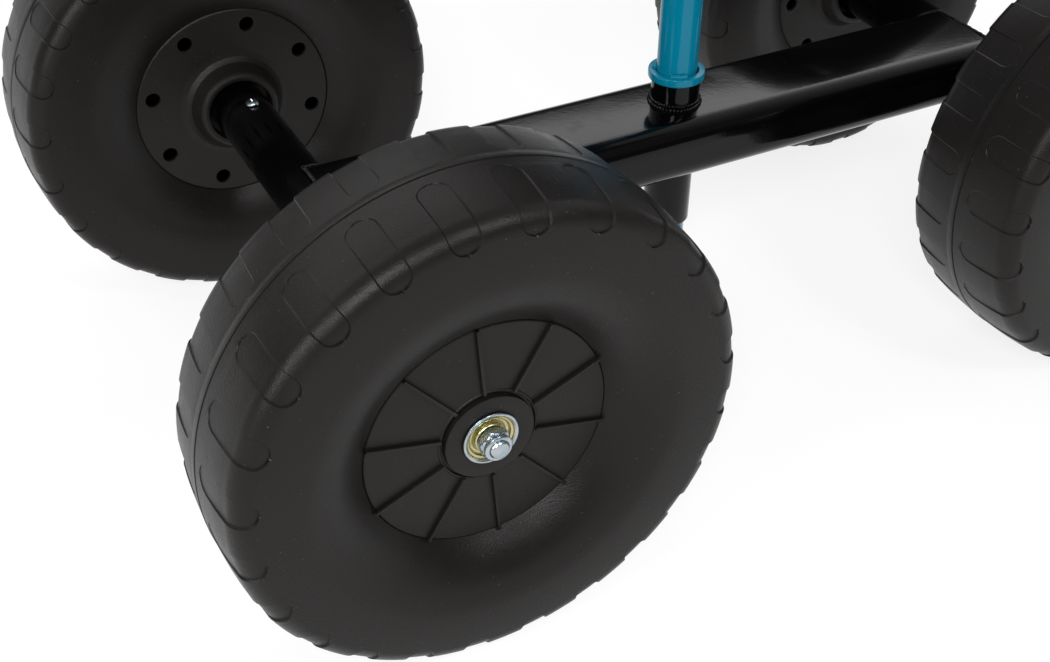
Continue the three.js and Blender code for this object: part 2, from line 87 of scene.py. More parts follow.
class Value:
    """A number or vector output of a node tree, whose arithmetic adds Math nodes."""

    __add__, __radd__ = _operator("ADD"), _operator("ADD", reflected=True)
    __sub__, __rsub__ = _operator("SUBTRACT"), _operator("SUBTRACT", reflected=True)
    __mul__, __rmul__ = _operator("MULTIPLY"), _operator("MULTIPLY", reflected=True)
    __truediv__, __rtruediv__ = _operator("DIVIDE"), _operator("DIVIDE", reflected=True)
    __pow__ = _operator("POWER")

    def __init__(self, graph: Graph, socket: bpy.types.NodeSocket | None) -> None:
        """Keeps the tree and the socket that the value comes from."""
        self.graph = graph
        self.socket = socket

    def over(self, low: float, high: float) -> Value:
        """A smooth step from 0 at low to 1 at high."""
        inputs = {0: self, 1: low, 2: high, 3: 0.0, 4: 1.0}
        return self.graph.node("ShaderNodeMapRange", {"interpolation_type": "SMOOTHSTEP"}, inputs)

    def other(self, output: int | str) -> Value:
        """Another output of the same node."""
        return Value(self.graph, self.socket.node.outputs[output])


class Graph:
    """A node tree that is filled by one method."""

    def __init__(self, tree: bpy.types.NodeTree) -> None:
        """Takes an empty tree."""
        self.tree = tree

    def node(self, kind: str, settings: dict[str, Any] | None = None, inputs: dict[Any, Any] | None = None,
             output: int | str = 0) -> Value:
        """Adds a node.

        Args:
            kind: the node's type.
            settings: its properties, set first.
            inputs: socket index or name to a constant or a Value.
            output: the output to hand back.

        Returns:
            The chosen output as a Value, which is empty for a node without outputs.
        """
        made = self.tree.nodes.new(kind)
        for key, setting in (settings or {}).items():
            setattr(made, key, setting)
        for key, given in (inputs or {}).items():
            socket = made.inputs[key]
            if isinstance(given, Value):
                self.tree.links.new(given.socket, socket)
            else:
                socket.default_value = given
        return Value(self, made.outputs[output] if len(made.outputs) else None)

    def axes(self, vector: Value) -> list[Value]:
        """The three parts of a vector."""
        first = self.node("ShaderNodeSeparateXYZ", {}, {0: vector})
        return [first.other(i) for i in range(3)]


# ---- finishes -----------------------------------------------------------------------------------
def _shade(colour: Colour, by: float) -> Colour:
    """A lighter or darker colour."""
    return tuple(min(1.0, channel * by) for channel in colour)


def _opaque(given: Any) -> Any:
    """A constant colour with its alpha, and anything else as it is."""
    return (*given, 1.0) if isinstance(given, tuple) else given


class SurfaceGraph(Graph):
    """A material's node tree, with the patterns that the finishes share."""

    def __init__(self, name: str) -> None:
        """Makes an empty material of that name."""
        self.material = bpy.data.materials.new(name)
        self.material.use_nodes = True
        super().__init__(self.material.node_tree)
        self.tree.nodes.clear()
        self.place = self.node("ShaderNodeTexCoord", output="Object")

    def stretched(self, scale: tuple[float, float, float]) -> Value:
        """Object coordinates, scaled by axis."""
        return self.node("ShaderNodeMapping", {}, {"Vector": self.place, "Scale": scale})

    def noise(self, scale: float, detail: float = 2.0, place: Value | None = None,
              roughness: float = 0.5) -> Value:
        """Soft noise, from 0 to 1, with so many waves to the metre."""
        inputs = {"Vector": place or self.place, "Scale": scale, "Detail": detail, "Roughness": roughness}
        return self.node("ShaderNodeTexNoise", {}, inputs)

    def cells(self, scale: float) -> Value:
        """The distance to the middle of the nearest cell, with so many cells to the metre."""
        return self.node("ShaderNodeTexVoronoi", {"feature": "F1"}, {"Vector": self.place, "Scale": scale})

    def specks(self, scale: float, size: float, share: float) -> Value:
        """Small round specks.

        Args:
            scale: cells to the metre.
            size: a speck's radius, as a share of its cell.
            share: how many of the cells have one.

        Returns:
            A mask that is 1 on a speck.
        """
        near = self.cells(scale)
        chance = self.node("ShaderNodeSeparateColor", {}, {0: near.other("Color")})
        return (1.0 - near.over(size * 0.6, size)) * (1.0 - chance.over(share, share + 0.01))

    def mix(self, factor: Any, first: Any, second: Any) -> Value:
        """A colour between two colours."""
        inputs = {"Factor": factor, 6: _opaque(first), 7: _opaque(second)}
        return self.node("ShaderNodeMix", {"data_type": "RGBA"}, inputs, output=2)

    def relief(self, height: Value, depth: float, under: Value | None = None) -> Value:
        """A bump.

        Args:
            height: the pattern that stands up.
            depth: how far it stands up, in metres.
            under: another bump that this one lies on.

        Returns:
            The bumped normal.
        """
        inputs: dict[Any, Any] = {"Height": height, "Distance": depth, "Strength": 1.0}
        if under is not None:
            inputs["Normal"] = under
        return self.node("ShaderNodeBump", {}, inputs)

    def surface(self, **sockets: Any) -> bpy.types.Material:
        """Ends the tree in one Principled shader.

        Args:
            sockets: the shader's sockets, with underscores for spaces.

        Returns:
            The finished material.
        """
        inputs = {name.replace("_", " "): _opaque(given) for name, given in sockets.items()}
        shader = self.node("ShaderNodeBsdfPrincipled", {}, inputs)
        self.node("ShaderNodeOutputMaterial", {}, {"Surface": shader})
        return self.material


@dataclass(frozen=True)
class PowderCoat:
    """Gloss powder coat on steel, with orange peel, dust and, near the post, overspray."""

    name: str
    colour: Colour
    roughness: float
    specular: float
    overspray: Colour | None = None

    peel_depth = 0.00004
    fine_depth = 0.000004
    dust = (0.35, 0.36, 0.36)
    mist_fades_out = (0.019, 0.04)
    mist_starts_up = (0.165, 0.19)

    def material(self) -> bpy.types.Material:
        """Makes the material."""
        g = SurfaceGraph(self.name)
        broad = g.noise(9.0, 3.0)
        peel = g.noise(330.0, 1.0) * 0.7 + g.noise(760.0, 1.0) * 0.3
        fine = g.noise(2600.0, 2.0)
        colour = g.mix(broad, _shade(self.colour, 0.86), _shade(self.colour, 1.12))
        colour = g.mix(g.specks(210.0, 0.07, 0.05) * 0.25, colour, self.dust)
        if self.overspray is not None:
            colour = g.mix(self._mist(g), colour, self.overspray)
        roughness = self.roughness + broad * 0.06 + g.noise(46.0, 4.0).over(0.55, 0.8) * 0.08
        normal = g.relief(fine, self.fine_depth, g.relief(peel, self.peel_depth))
        return g.surface(Base_Color=colour, Roughness=roughness, Normal=normal, IOR=1.5,
                         Specular_IOR_Level=self.specular)

    def _mist(self, g: SurfaceGraph) -> Value:
        """A mask of stray droplets round the post, which is on the Z axis.

        Args:
            g: the material's tree.

        Returns:
            The mask, which is 1 on a droplet.
        """
        x, y, z = g.axes(g.place)
        away = (x * x + y * y) ** 0.5
        droplets = g.specks(520.0, 0.22, 0.04) + g.specks(300.0, 0.2, 0.018)
        return droplets * (1.0 - away.over(*self.mist_fades_out)) * z.over(*self.mist_starts_up)


@dataclass(frozen=True)
class MouldedPlastic:
    """Polythene from a mould: a fine grain, flow marks, scuffs and a little pale dust."""

    name: str
    colour: Colour
    roughness: float
    grain: float
    dust: float
    specular: float

    ripple = 0.00012
    dust_colour = (0.2, 0.195, 0.185)

    def material(self) -> bpy.types.Material:
        """Makes the material."""
        g = SurfaceGraph(self.name)
        broad = g.noise(11.0, 4.0)
        cloud = g.noise(38.0, 5.0, roughness=0.6)
        pebble = g.noise(640.0, 3.0, roughness=0.7)
        grain = g.noise(1500.0, 2.0)
        streak = g.noise(90.0, 3.0, g.stretched((1.0, 9.0, 1.0)))
        colour = g.mix(broad, _shade(self.colour, 0.84), _shade(self.colour, 1.16))
        colour = g.mix(cloud.over(0.5, 0.8) * 0.3, colour, _shade(self.colour, 1.6))
        dust = g.specks(130.0, 0.075, 0.4) * self.dust + g.specks(310.0, 0.13, 0.12) * self.dust
        colour = g.mix(dust, colour, self.dust_colour)
        roughness = self.roughness + (cloud - 0.5) * 0.16 + (streak - 0.5) * 0.08 + (grain - 0.5) * 0.1
        normal = g.relief(pebble, self.grain * 1.6, g.relief(cloud, self.ripple))
        return g.surface(Base_Color=colour, Roughness=roughness, Normal=g.relief(grain, self.grain, normal),
                         IOR=1.5, Specular_IOR_Level=self.specular)


@dataclass(frozen=True)
class PlatedMetal:
    """Plated or machined metal, with a faint grain and patches of duller plate."""

    name: str
    colour: Colour
    tint: Colour
    roughness: float

    grain = 0.000012

    def material(self) -> bpy.types.Material:
        """Makes the material."""
        g = SurfaceGraph(self.name)
        broad = g.noise(120.0, 3.0)
        patch = g.noise(420.0, 4.0, roughness=0.65)
        grain = g.noise(3200.0, 2.0)
        colour = g.mix(broad.over(0.35, 0.75), self.colour, self.tint)
        colour = g.mix(patch.over(0.6, 0.85) * 0.35, colour, _shade(self.colour, 0.5))
        roughness = self.roughness + patch * 0.16 + (grain - 0.5) * 0.1
        normal = g.relief(grain, self.grain, g.relief(patch, self.grain * 2.5))
        return g.surface(Base_Color=colour, Roughness=roughness, Metallic=1.0, Normal=normal)


@dataclass(frozen=True)
class Foam:
    """Closed-cell foam, with its cut cells as a fine pitting."""

    name: str
    colour: Colour

    pit_depth = 0.0003

    def material(self) -> bpy.types.Material:
        """Makes the material."""
        g = SurfaceGraph(self.name)
        cells = g.cells(900.0)
        broad = g.noise(30.0, 4.0)
        colour = g.mix(broad, _shade(self.colour, 0.8), _shade(self.colour, 1.5))
        colour = g.mix(cells.over(0.35, 0.7) * 0.6, colour, _shade(self.colour, 2.2))
        normal = g.relief(cells, self.pit_depth, g.relief(g.noise(260.0, 3.0), self.pit_depth))
        return g.surface(Base_Color=colour, Roughness=0.86 + broad * 0.1, Normal=normal, Sheen_Weight=0.12)


class Finish(Enum):
    """The cart's finishes. Each is named as the material slot that it fills."""

    BLACK_COAT = PowderCoat("black_powder_coat", (0.0012, 0.0012, 0.0014), roughness=0.08, specular=0.22,
                            overspray=(0.0, 0.2, 0.3))
    TURQUOISE_COAT = PowderCoat("turquoise_powder_coat", (0.0, 0.172, 0.275), roughness=0.13, specular=0.27)
    TYRE = MouldedPlastic("tyre_plastic", (0.0072, 0.006, 0.0055), roughness=0.35, grain=0.00011, dust=0.2,
                          specular=0.19)
    HUB = MouldedPlastic("hub_plastic", (0.0072, 0.006, 0.0053), roughness=0.42, grain=0.00012, dust=0.15,
                         specular=0.21)
    DRUM = MouldedPlastic("drum_plastic", (0.0075, 0.0075, 0.008), roughness=0.4, grain=0.00005, dust=0.35,
                          specular=0.27)
    GRIP_FOAM = Foam("foam_grip", (0.011, 0.011, 0.0115))
    ZINC = PlatedMetal("zinc_steel", (0.46, 0.5, 0.53), (0.3, 0.38, 0.43), roughness=0.2)
    YELLOW_ZINC = PlatedMetal("yellow_zinc", (0.56, 0.5, 0.29), (0.36, 0.38, 0.23), roughness=0.2)
    BRASS = PlatedMetal("brass", (0.6, 0.41, 0.17), (0.46, 0.29, 0.11), roughness=0.26)

    @property
    def slot(self) -> str:
        """The material slot that this finish fills."""
        return self.value.name


class Paintbox:
    """Makes each finish once."""

    def __init__(self) -> None:
        """Starts with nothing made."""
        self.made: dict[Finish, bpy.types.Material] = {}

    def __getitem__(self, finish: Finish) -> bpy.types.Material:
        """The material of a finish."""
        if finish not in self.made:
            self.made[finish] = finish.value.material()
        return self.made[finish]


PAINT = Paintbox()


# ---- outlines -----------------------------------------------------------------------------------
def arc(centre: Point, radius: float, start: float, end: float, steps: int) -> list[Point]:
    """Points along an arc, its angles in degrees."""
    angles = [math.radians(start + (end - start) * i / steps) for i in range(steps + 1)]
    return [(centre[0] + radius * math.cos(a), centre[1] + radius * math.sin(a)) for a in angles]


def circle(radius: float, count: int) -> list[Point]:
    """So many points round a circle, the first of them on the first axis."""
    angles = np.linspace(0.0, FULL_TURN, count, endpoint=False)
    return [(radius * math.cos(a), radius * math.sin(a)) for a in angles]


def sleeve(bore: float, radius: float, low: float, high: float) -> list[Point]:
    """The profile of a plain sleeve from low to high, or of a solid rod if the bore is 0."""
    return [(bore, low), (radius, low), (radius, high), (bore, high)]


def chord(radius: float, off: float) -> float:
    """Half the width of a circle at a distance off its middle, and 0 beyond it."""
    return math.sqrt(radius ** 2 - min(off * off, radius ** 2))


def softened(points: Sequence[Point], radius: float, steps: int = 3, loop: bool = True) -> list[Point]:
    """Rounds the corners of an outline.

    Args:
        points: the outline's corners.
        radius: the largest rounding; a short side gets less.
        steps: facets to each rounding.
        loop: whether the outline closes on itself.

    Returns:
        The rounded outline.
    """
    nearly_straight, side_share, too_short = math.radians(172), 0.45, 1e-6
    result: list[Point] = []
    count = len(points)
    for i, corner in enumerate(points):
        if not loop and i in (0, count - 1):
            result.append(tuple(corner))
            continue
        here = Vector(corner)
        back, ahead = Vector(points[i - 1]) - here, Vector(points[(i + 1) % count]) - here
        if min(back.length, ahead.length) < too_short:
            continue
        turn = back.angle(ahead)
        if turn > nearly_straight:
            result.append(tuple(corner))
            continue
        reach = min(radius / math.tan(turn / 2), side_share * back.length, side_share * ahead.length)
        first, last = here + back.normalized() * reach, here + ahead.normalized() * reach
        for step in range(steps + 1):
            t = step / steps
            result.append(tuple((1 - t) ** 2 * first + 2 * t * (1 - t) * here + t * t * last))
    return result


def spline(points: Sequence[Point], steps: int) -> list[Point]:
    """A smooth line through points.

    Args:
        points: what it passes through.
        steps: facets to each span.

    Returns:
        The line's points.
    """
    before, after = 2 * np.array(points[0]) - points[1], 2 * np.array(points[-1]) - points[-2]
    padded = [before, *map(np.array, points), after]
    result: list[Point] = []
    for i in range(1, len(padded) - 2):
        a, b, c, d = padded[i - 1:i + 3]
        for step in range(steps):
            t = step / steps
            square, cube = 2 * a - 5 * b + 4 * c - d, 3 * b - a - 3 * c + d
            result.append(tuple(0.5 * (2 * b + (c - a) * t + square * t ** 2 + cube * t ** 3)))
    result.append(tuple(padded[-2]))
    return result


def rounded_box(width: float, height: float, corner: float, crown: float = 0.0) -> list[Point]:
    """A round-cornered rectangle whose wide sides bulge a little, as a rolled tube's do.

    Args:
        width: its size along the first axis.
        height: its size along the second.
        corner: the corners' radius.
        crown: how far the middles of the wide sides bulge.

    Returns:
        The outline.
    """
    x, z = width / 2 - corner, height / 2 - corner
    outline: list[Point] = []
    for cx, cz, start in ((x, z, 0), (-x, z, 90), (-x, -z, 180), (x, -z, 270)):
        outline += arc((cx, cz), corner, start, start + 90, 14)
        if start in (0, 180):
            way = -1 if start == 0 else 1
            outline += [(way * x * t, -way * (z + corner + crown * (1 - t * t)))
                        for t in np.linspace(-0.92, 0.92, 17)]
    return outline


def link(x0: float, z0: float, r0: float, x1: float, z1: float, r1: float) -> list[Point]:
    """Two circles joined by their tangents.

    Args:
        x0, z0, r0: the first circle's centre and radius.
        x1, z1, r1: the second circle's.

    Returns:
        The outline.
    """
    angle = math.degrees(math.atan2(z1 - z0, x1 - x0))
    spread = math.degrees(math.acos((r0 - r1) / math.hypot(x1 - x0, z1 - z0)))
    return (arc((x0, z0), r0, angle + spread, angle - spread + 360, 24)
            + arc((x1, z1), r1, angle - spread, angle + spread, 24))


def bent(corners: Sequence[Sequence[float]], radius: float, steps: int = 16) -> list[Vector]:
    """A path of straight runs joined by right-angle bends.

    Args:
        corners: where the straight runs would meet.
        radius: the bends' radius.
        steps: facets to each bend.

    Returns:
        The path's points.
    """
    line = [Vector(c) for c in corners]
    path = [line[0]]
    for i in range(1, len(line) - 1):
        back = (line[i - 1] - line[i]).normalized() * radius
        ahead = (line[i + 1] - line[i]).normalized() * radius
        centre = line[i] + back + ahead
        for step in range(steps + 1):
            angle = step / steps * math.pi / 2
            path.append(centre - ahead * math.cos(angle) - back * math.sin(angle))
    path.append(line[-1])
    return path


def hexagon(across: float, chamfer_at: float) -> Shape:
    """A lathe shape that turns a round into a hexagon with chamfered corners.

    Args:
        across: size across the flats.
        chamfer_at: the y beyond which the corners are cut away.

    Returns:
        The shape, for Form.lathe.
    """
    slope, smallest, left_round = 0.55, 0.47 * across, 0.45 * across

    def shape(angle: float, radius: float, y: float) -> float:
        """The radius at one angle; a radius well inside the flats is left round."""
        if radius < left_round:
            return radius
        flat = (across / 2) / math.cos((angle % (math.pi / 3)) - math.pi / 6)
        cone = across / math.sqrt(3) - max(0.0, y - chamfer_at) / slope
        return min(flat, max(cone, smallest))
    return shape


# ---- forms --------------------------------------------------------------------------------------
@dataclass
class Form:
    """A mesh in millimetres, on its way to becoming a piece."""

    points: np.ndarray
    faces: list[tuple[int, ...]]
    edges: list[tuple[int, int]] = field(default_factory=list)

    on_axis = 1e-9

    @staticmethod
    def line(path: Sequence[Sequence[float]], loop: bool = False) -> Form:
        """A bare line for a bead to follow.

        Args:
            path: its points.
            loop: whether it closes on itself.

        Returns:
            The line, which has no faces.
        """
        count = len(path)
        edges = [(i, (i + 1) % count) for i in range(count if loop else count - 1)]
        return Form(np.array(path, dtype=float), [], edges)

    @staticmethod
    def lathe(profile: Sequence[Point], segments: int = 96, shape: Shape | None = None) -> Form:
        """Turns a profile about the Y axis.

        Args:
            profile: (radius, y) points. One that starts and ends on the axis is capped by its poles;
                any other closes on itself.
            segments: facets around.
            shape: changes a radius, given the angle, the radius and y, as for a hexagon or flutes.

        Returns:
            The turned form.
        """
        angles = np.linspace(0.0, FULL_TURN, segments, endpoint=False)
        points: list[tuple[float, float, float]] = []
        rings: list[list[int]] = []
        for radius, y in profile:
            if abs(radius) < Form.on_axis:
                rings.append([len(points)] * segments)
                points.append((0.0, y, 0.0))
            else:
                rings.append(list(range(len(points), len(points) + segments)))
                sizes = [shape(a, radius, y) if shape else radius for a in angles]
                points.extend((size * math.cos(a), y, size * math.sin(a)) for a, size in zip(angles, sizes))
        if profile[0][0] > Form.on_axis:
            rings.append(rings[0])
        faces: list[tuple[int, ...]] = []
        for low, high in zip(rings, rings[1:]):
            for i in range(segments):
                j = (i + 1) % segments
                face = tuple(dict.fromkeys((low[i], low[j], high[j], high[i])))
                if len(face) > 2:
                    faces.append(face)
        return Form(np.array(points), faces)

    @staticmethod
    def turned(profile: Sequence[Point], soft: float, steps: int, segments: int,
               shape: Shape | None = None) -> Form:
        """Turns a profile about the Y axis, with its corners rounded.

        Args:
            profile: (radius, y) points, as for lathe.
            soft: the largest rounding of a corner.
            steps: facets to each rounding.
            segments: facets around.
            shape: changes a radius, as for lathe.

        Returns:
            The turned form.
        """
        return Form.lathe(softened(profile, soft, steps, loop=profile[0][0] > Form.on_axis), segments, shape)

    @staticmethod
    def tube(path: Sequence[Sequence[float]], radius: float, bore: float = 0.0, segments: int = 40,
             loop: bool = False) -> Form:
        """Sweeps a round section along a path.

        Args:
            path: the points that it follows.
            radius: the outer radius.
            bore: the inner radius, or 0 for a solid rod.
            segments: facets around.
            loop: whether the path closes on itself.

        Returns:
            The swept form, with its ends closed.
        """
        line = [Vector(p) for p in path]
        count = len(line)
        tangents = []
        for i in range(count):
            before = line[i - 1] if loop or i > 0 else line[0]
            after = line[(i + 1) % count] if loop or i < count - 1 else line[-1]
            tangents.append((after - before).normalized())
        side = tangents[0].orthogonal().normalized()
        frames = []
        for tangent in tangents:
            side = (side - tangent * side.dot(tangent)).normalized()
            frames.append((side.copy(), tangent.cross(side)))
        rings = [[tuple(line[i] + u * x + v * y) for x, y in circle(radius, segments)]
                 for i, (u, v) in enumerate(frames)]
        closed = loop or bore > 0
        if not loop and bore > 0:
            rings += [[tuple(line[i] + frames[i][0] * x + frames[i][1] * y) for x, y in circle(bore, segments)]
                      for i in reversed(range(count))]
        elif not loop:
            rings = [[tuple(line[0])] * segments, *rings, [tuple(line[-1])] * segments]
        total = len(rings)
        faces = []
        for k in range(total if closed else total - 1):
            low, high = k * segments, ((k + 1) % total) * segments
            for i in range(segments):
                j = (i + 1) % segments
                faces.append((low + i, low + j, high + j, high + i))
        return Form(np.array([p for ring in rings for p in ring]), faces).welded()

    @staticmethod
    def plate(outline: Sequence[Point], y0: float, y1: float) -> Form:
        """A flat plate.

        Args:
            outline: its outline in X and Z.
            y0, y1: its two faces.

        Returns:
            The plate.
        """
        count = len(outline)
        points = np.array([(x, y, z) for y in (y0, y1) for x, z in outline])
        faces = [tuple(range(count)), tuple(range(2 * count - 1, count - 1, -1))]
        faces += [(i, i + count, (i + 1) % count + count, (i + 1) % count) for i in range(count)]
        return Form(points, faces)

    @staticmethod
    def bar(x: float, y: float, z: float, edge: float) -> Form:
        """A block centred on the origin, with rounded edges.

        Args:
            x, y, z: its sizes.
            edge: the edges' rounding.

        Returns:
            The block.
        """
        corners = [(-x / 2, -z / 2), (x / 2, -z / 2), (x / 2, z / 2), (-x / 2, z / 2)]
        return Form.plate(corners, -y / 2, y / 2).bevelled(edge)

    @staticmethod
    def joined(forms: Iterable[Form]) -> Form:
        """Several forms as one mesh."""
        return reduce(Form.__add__, forms)

    def __add__(self, other: Form) -> Form:
        """Two forms as one mesh."""
        shift = len(self.points)
        faces = self.faces + [tuple(i + shift for i in face) for face in other.faces]
        return Form(np.vstack((self.points, other.points)), faces)

    def moved(self, x: float = 0.0, y: float = 0.0, z: float = 0.0) -> Form:
        """The form, shifted."""
        return Form(self.points + np.array((x, y, z)), self.faces)

    def placed(self, matrix: Matrix) -> Form:
        """The form under a matrix."""
        array = np.array(matrix)
        return Form(self.points @ array[:3, :3].T + array[:3, 3], self.faces)

    def rolled(self, degrees: float) -> Form:
        """The form, turned about the Y axis from +X towards +Z."""
        return self.placed(Matrix.Rotation(-math.radians(degrees), 4, "Y"))

    def standing(self) -> Form:
        """A form made along +Y, turned to stand along +Z."""
        return self.placed(Matrix.Rotation(math.pi / 2, 4, "X"))

    def hanging(self) -> Form:
        """A form made along +Y, turned to hang along -Z, which brings its +Z to +Y."""
        return self.placed(Matrix.Rotation(-math.pi / 2, 4, "X"))

    def facing(self, side: int) -> Form:
        """A form made for the left, turned half round for the right."""
        return self if side > 0 else self.placed(Matrix.Rotation(math.pi, 4, "Z"))

    def mirrored(self, side: int) -> Form:
        """A form made for the left, mirrored for the right."""
        return self if side > 0 else self.placed(Matrix.Scale(-1, 4, (0, 1, 0)))

    def mesh(self, name: str = "form") -> bpy.types.Mesh:
        """The form as a mesh, still in millimetres."""
        made = bpy.data.meshes.new(name)
        made.from_pydata(self.points.tolist(), self.edges, self.faces)
        made.validate()
        return made

    def evaluated(self, prepare: Callable[[bpy.types.Object], None]) -> Form:
        """The form after modifiers.

        Args:
            prepare: adds the modifiers to a temporary object.

        Returns:
            The result, as a plain form.
        """
        work = bpy.data.objects.new("work", self.mesh())
        bpy.context.scene.collection.objects.link(work)
        prepare(work)
        bpy.context.view_layer.update()
        result = bpy.data.meshes.new_from_object(work.evaluated_get(bpy.context.evaluated_depsgraph_get()))
        points = np.zeros(len(result.vertices) * 3)
        result.vertices.foreach_get("co", points)
        form = Form(points.reshape(-1, 3), [tuple(p.vertices) for p in result.polygons])
        bpy.data.objects.remove(work)
        bpy.data.meshes.remove(result)
        return form

    def bevelled(self, width: float, segments: int = 2, angle: float = 30.0) -> Form:
        """The form with its sharp edges rounded.

        Args:
            width: the bevel's width.
            segments: its facets.
            angle: edges sharper than this, in degrees, are rounded.

        Returns:
            The rounded form.
        """
        def prepare(work: bpy.types.Object) -> None:
            """Adds the bevel."""
            bevel = work.modifiers.new("edge", "BEVEL")
            bevel.width, bevel.segments, bevel.use_clamp_overlap = width, segments, True
            bevel.limit_method, bevel.angle_limit = "ANGLE", math.radians(angle)
        return self.outward().evaluated(prepare)

    def cut(self, *tools: Form) -> Form:
        """The form less some others.

        Args:
            tools: what is cut away.

        Returns:
            The cut form.
        """
        cutters: list[bpy.types.Object] = []

        def prepare(work: bpy.types.Object) -> None:
            """Adds one exact boolean for each tool."""
            for tool in tools:
                cutter = bpy.data.objects.new("cutter", tool.outward().mesh())
                bpy.context.scene.collection.objects.link(cutter)
                cutters.append(cutter)
                boolean = work.modifiers.new("cut", "BOOLEAN")
                boolean.operation, boolean.solver, boolean.object = "DIFFERENCE", "EXACT", cutter
        form = self.outward().evaluated(prepare)
        for cutter in cutters:
            bpy.data.objects.remove(cutter)
        return form

    def _through_bmesh(self, change: Callable[[bmesh.types.BMesh], Any]) -> Form:
        """The form after a change made in bmesh.

        Args:
            change: changes the mesh that it is given.

        Returns:
            The changed form.
        """
        work = bmesh.new()
        made = self.mesh()
        work.from_mesh(made)
        bpy.data.meshes.remove(made)
        change(work)
        work.verts.index_update()
        faces = [tuple(v.index for v in f.verts) for f in work.faces]
        form = Form(np.array([v.co[:] for v in work.verts]), faces)
        work.free()
        return form

    def welded(self) -> Form:
        """The form with its doubled points merged."""
        return self._through_bmesh(lambda work: bmesh.ops.remove_doubles(work, verts=work.verts[:], dist=1e-5))

    def outward(self) -> Form:
        """The form with its faces pointing out."""
        return self._through_bmesh(lambda work: bmesh.ops.recalc_face_normals(work, faces=work.faces[:]))

    def piece(self, name: str, finish: Finish, body: str, replaces: str = "", crease: float = 34.0) -> None:
        """Makes the form a finished piece of the cart, at the origin.

        Args:
            name: the piece's name.
            finish: its finish.
            body: the body that it rides on.
            replaces: the frame's node that it stands for, if any.
            crease: edges sharper than this, in degrees, stay crisp.
        """
        made = self.outward().placed(Matrix.Scale(MM, 4)).mesh(name)
        made.polygons.foreach_set("use_smooth", [True] * len(made.polygons))
        made.set_sharp_from_angle(angle=math.radians(crease))
        made.materials.append(PAINT[finish])
        piece = bpy.data.objects.new(name, made)
        bpy.context.scene.collection.objects.link(piece)
        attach(piece, body)
        finish.slot
        if replaces:
            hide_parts(replaces)
        LOG.info("%s: %d faces, %s, on %s", name, len(made.polygons), finish.slot, body)


# ---- repeats, made by geometry nodes ------------------------------------------------------------
class Repeat:
    """A geometry node tree that repeats a form, used as a modifier and then made plain."""

    name = "repeat"
    sizes: dict[str, tuple[str, float | int]] = {}

    def __init__(self) -> None:
        """Builds the tree, with one named input for each size."""
        self.tree = bpy.data.node_groups.new(self.name, "GeometryNodeTree")
        face = self.tree.interface
        face.new_socket("Form", in_out="INPUT", socket_type="NodeSocketGeometry")
        self.identifiers: dict[str, str] = {}
        for label, (kind, default) in self.sizes.items():
            socket = face.new_socket(label, in_out="INPUT", socket_type=f"NodeSocket{kind}")
            socket.default_value = default
            self.identifiers[label] = socket.identifier
        finish = face.new_socket("Finish", in_out="INPUT", socket_type="NodeSocketMaterial")
        self.identifiers["Finish"] = finish.identifier
        face.new_socket("Form", in_out="OUTPUT", socket_type="NodeSocketGeometry")
        g = Graph(self.tree)
        entry = g.node("NodeGroupInput").socket.node
        self.given = {socket.name: Value(g, socket) for socket in entry.outputs if socket.name}
        real = g.node("GeometryNodeRealizeInstances", {}, {"Geometry": self.build(g)})
        joined = g.node("GeometryNodeMergeByDistance", {}, {"Geometry": real, "Distance": 0.004})
        dressed = g.node("GeometryNodeSetMaterial", {}, {"Geometry": joined, "Material": self.given["Finish"]})
        g.node("NodeGroupOutput", {}, {0: dressed})

    def build(self, g: Graph) -> Value:
        """Adds the tree's own nodes and returns its geometry."""
        raise NotImplementedError

    def of(self, form: Form, finish: Finish, **sizes: float | int) -> Form:
        """Runs the tree on a form.

        Args:
            form: what it repeats, or the line that it follows.
            finish: the finish that the tree sets.
            sizes: the named inputs.

        Returns:
            The result as a plain form.
        """
        def prepare(work: bpy.types.Object) -> None:
            """Adds the tree as a modifier and sets its inputs."""
            modifier = work.modifiers.new(self.name, "NODES")
            modifier.node_group = self.tree
            for label, size in sizes.items():
                modifier[self.identifiers[label]] = size
            modifier[self.identifiers["Finish"]] = PAINT[finish]
        return form.evaluated(prepare)


class RoundTheAxle(Repeat):
    """Repeats a form about the Y axis: tread, ribs, holes, spokes and screws."""

    name = "round_the_axle"
    sizes = {"Count": ("Int", 8), "Start": ("Float", 0.0)}

    def build(self, g: Graph) -> Value:
        """Places one instance for each step of a full turn."""
        inputs = {"Count": self.given["Count"], "Offset": (0.0, 0.0, 0.0)}
        origin = g.node("GeometryNodeMeshLine", {}, inputs)
        index = g.node("GeometryNodeInputIndex")
        angle = -1.0 * (index * FULL_TURN / self.given["Count"] + self.given["Start"])
        euler = g.node("ShaderNodeCombineXYZ", {}, {"Y": angle})
        turn = g.node("FunctionNodeEulerToRotation", {}, {0: euler})
        inputs = {"Points": origin, "Instance": self.given["Form"], "Rotation": turn}
        return g.node("GeometryNodeInstanceOnPoints", {}, inputs)


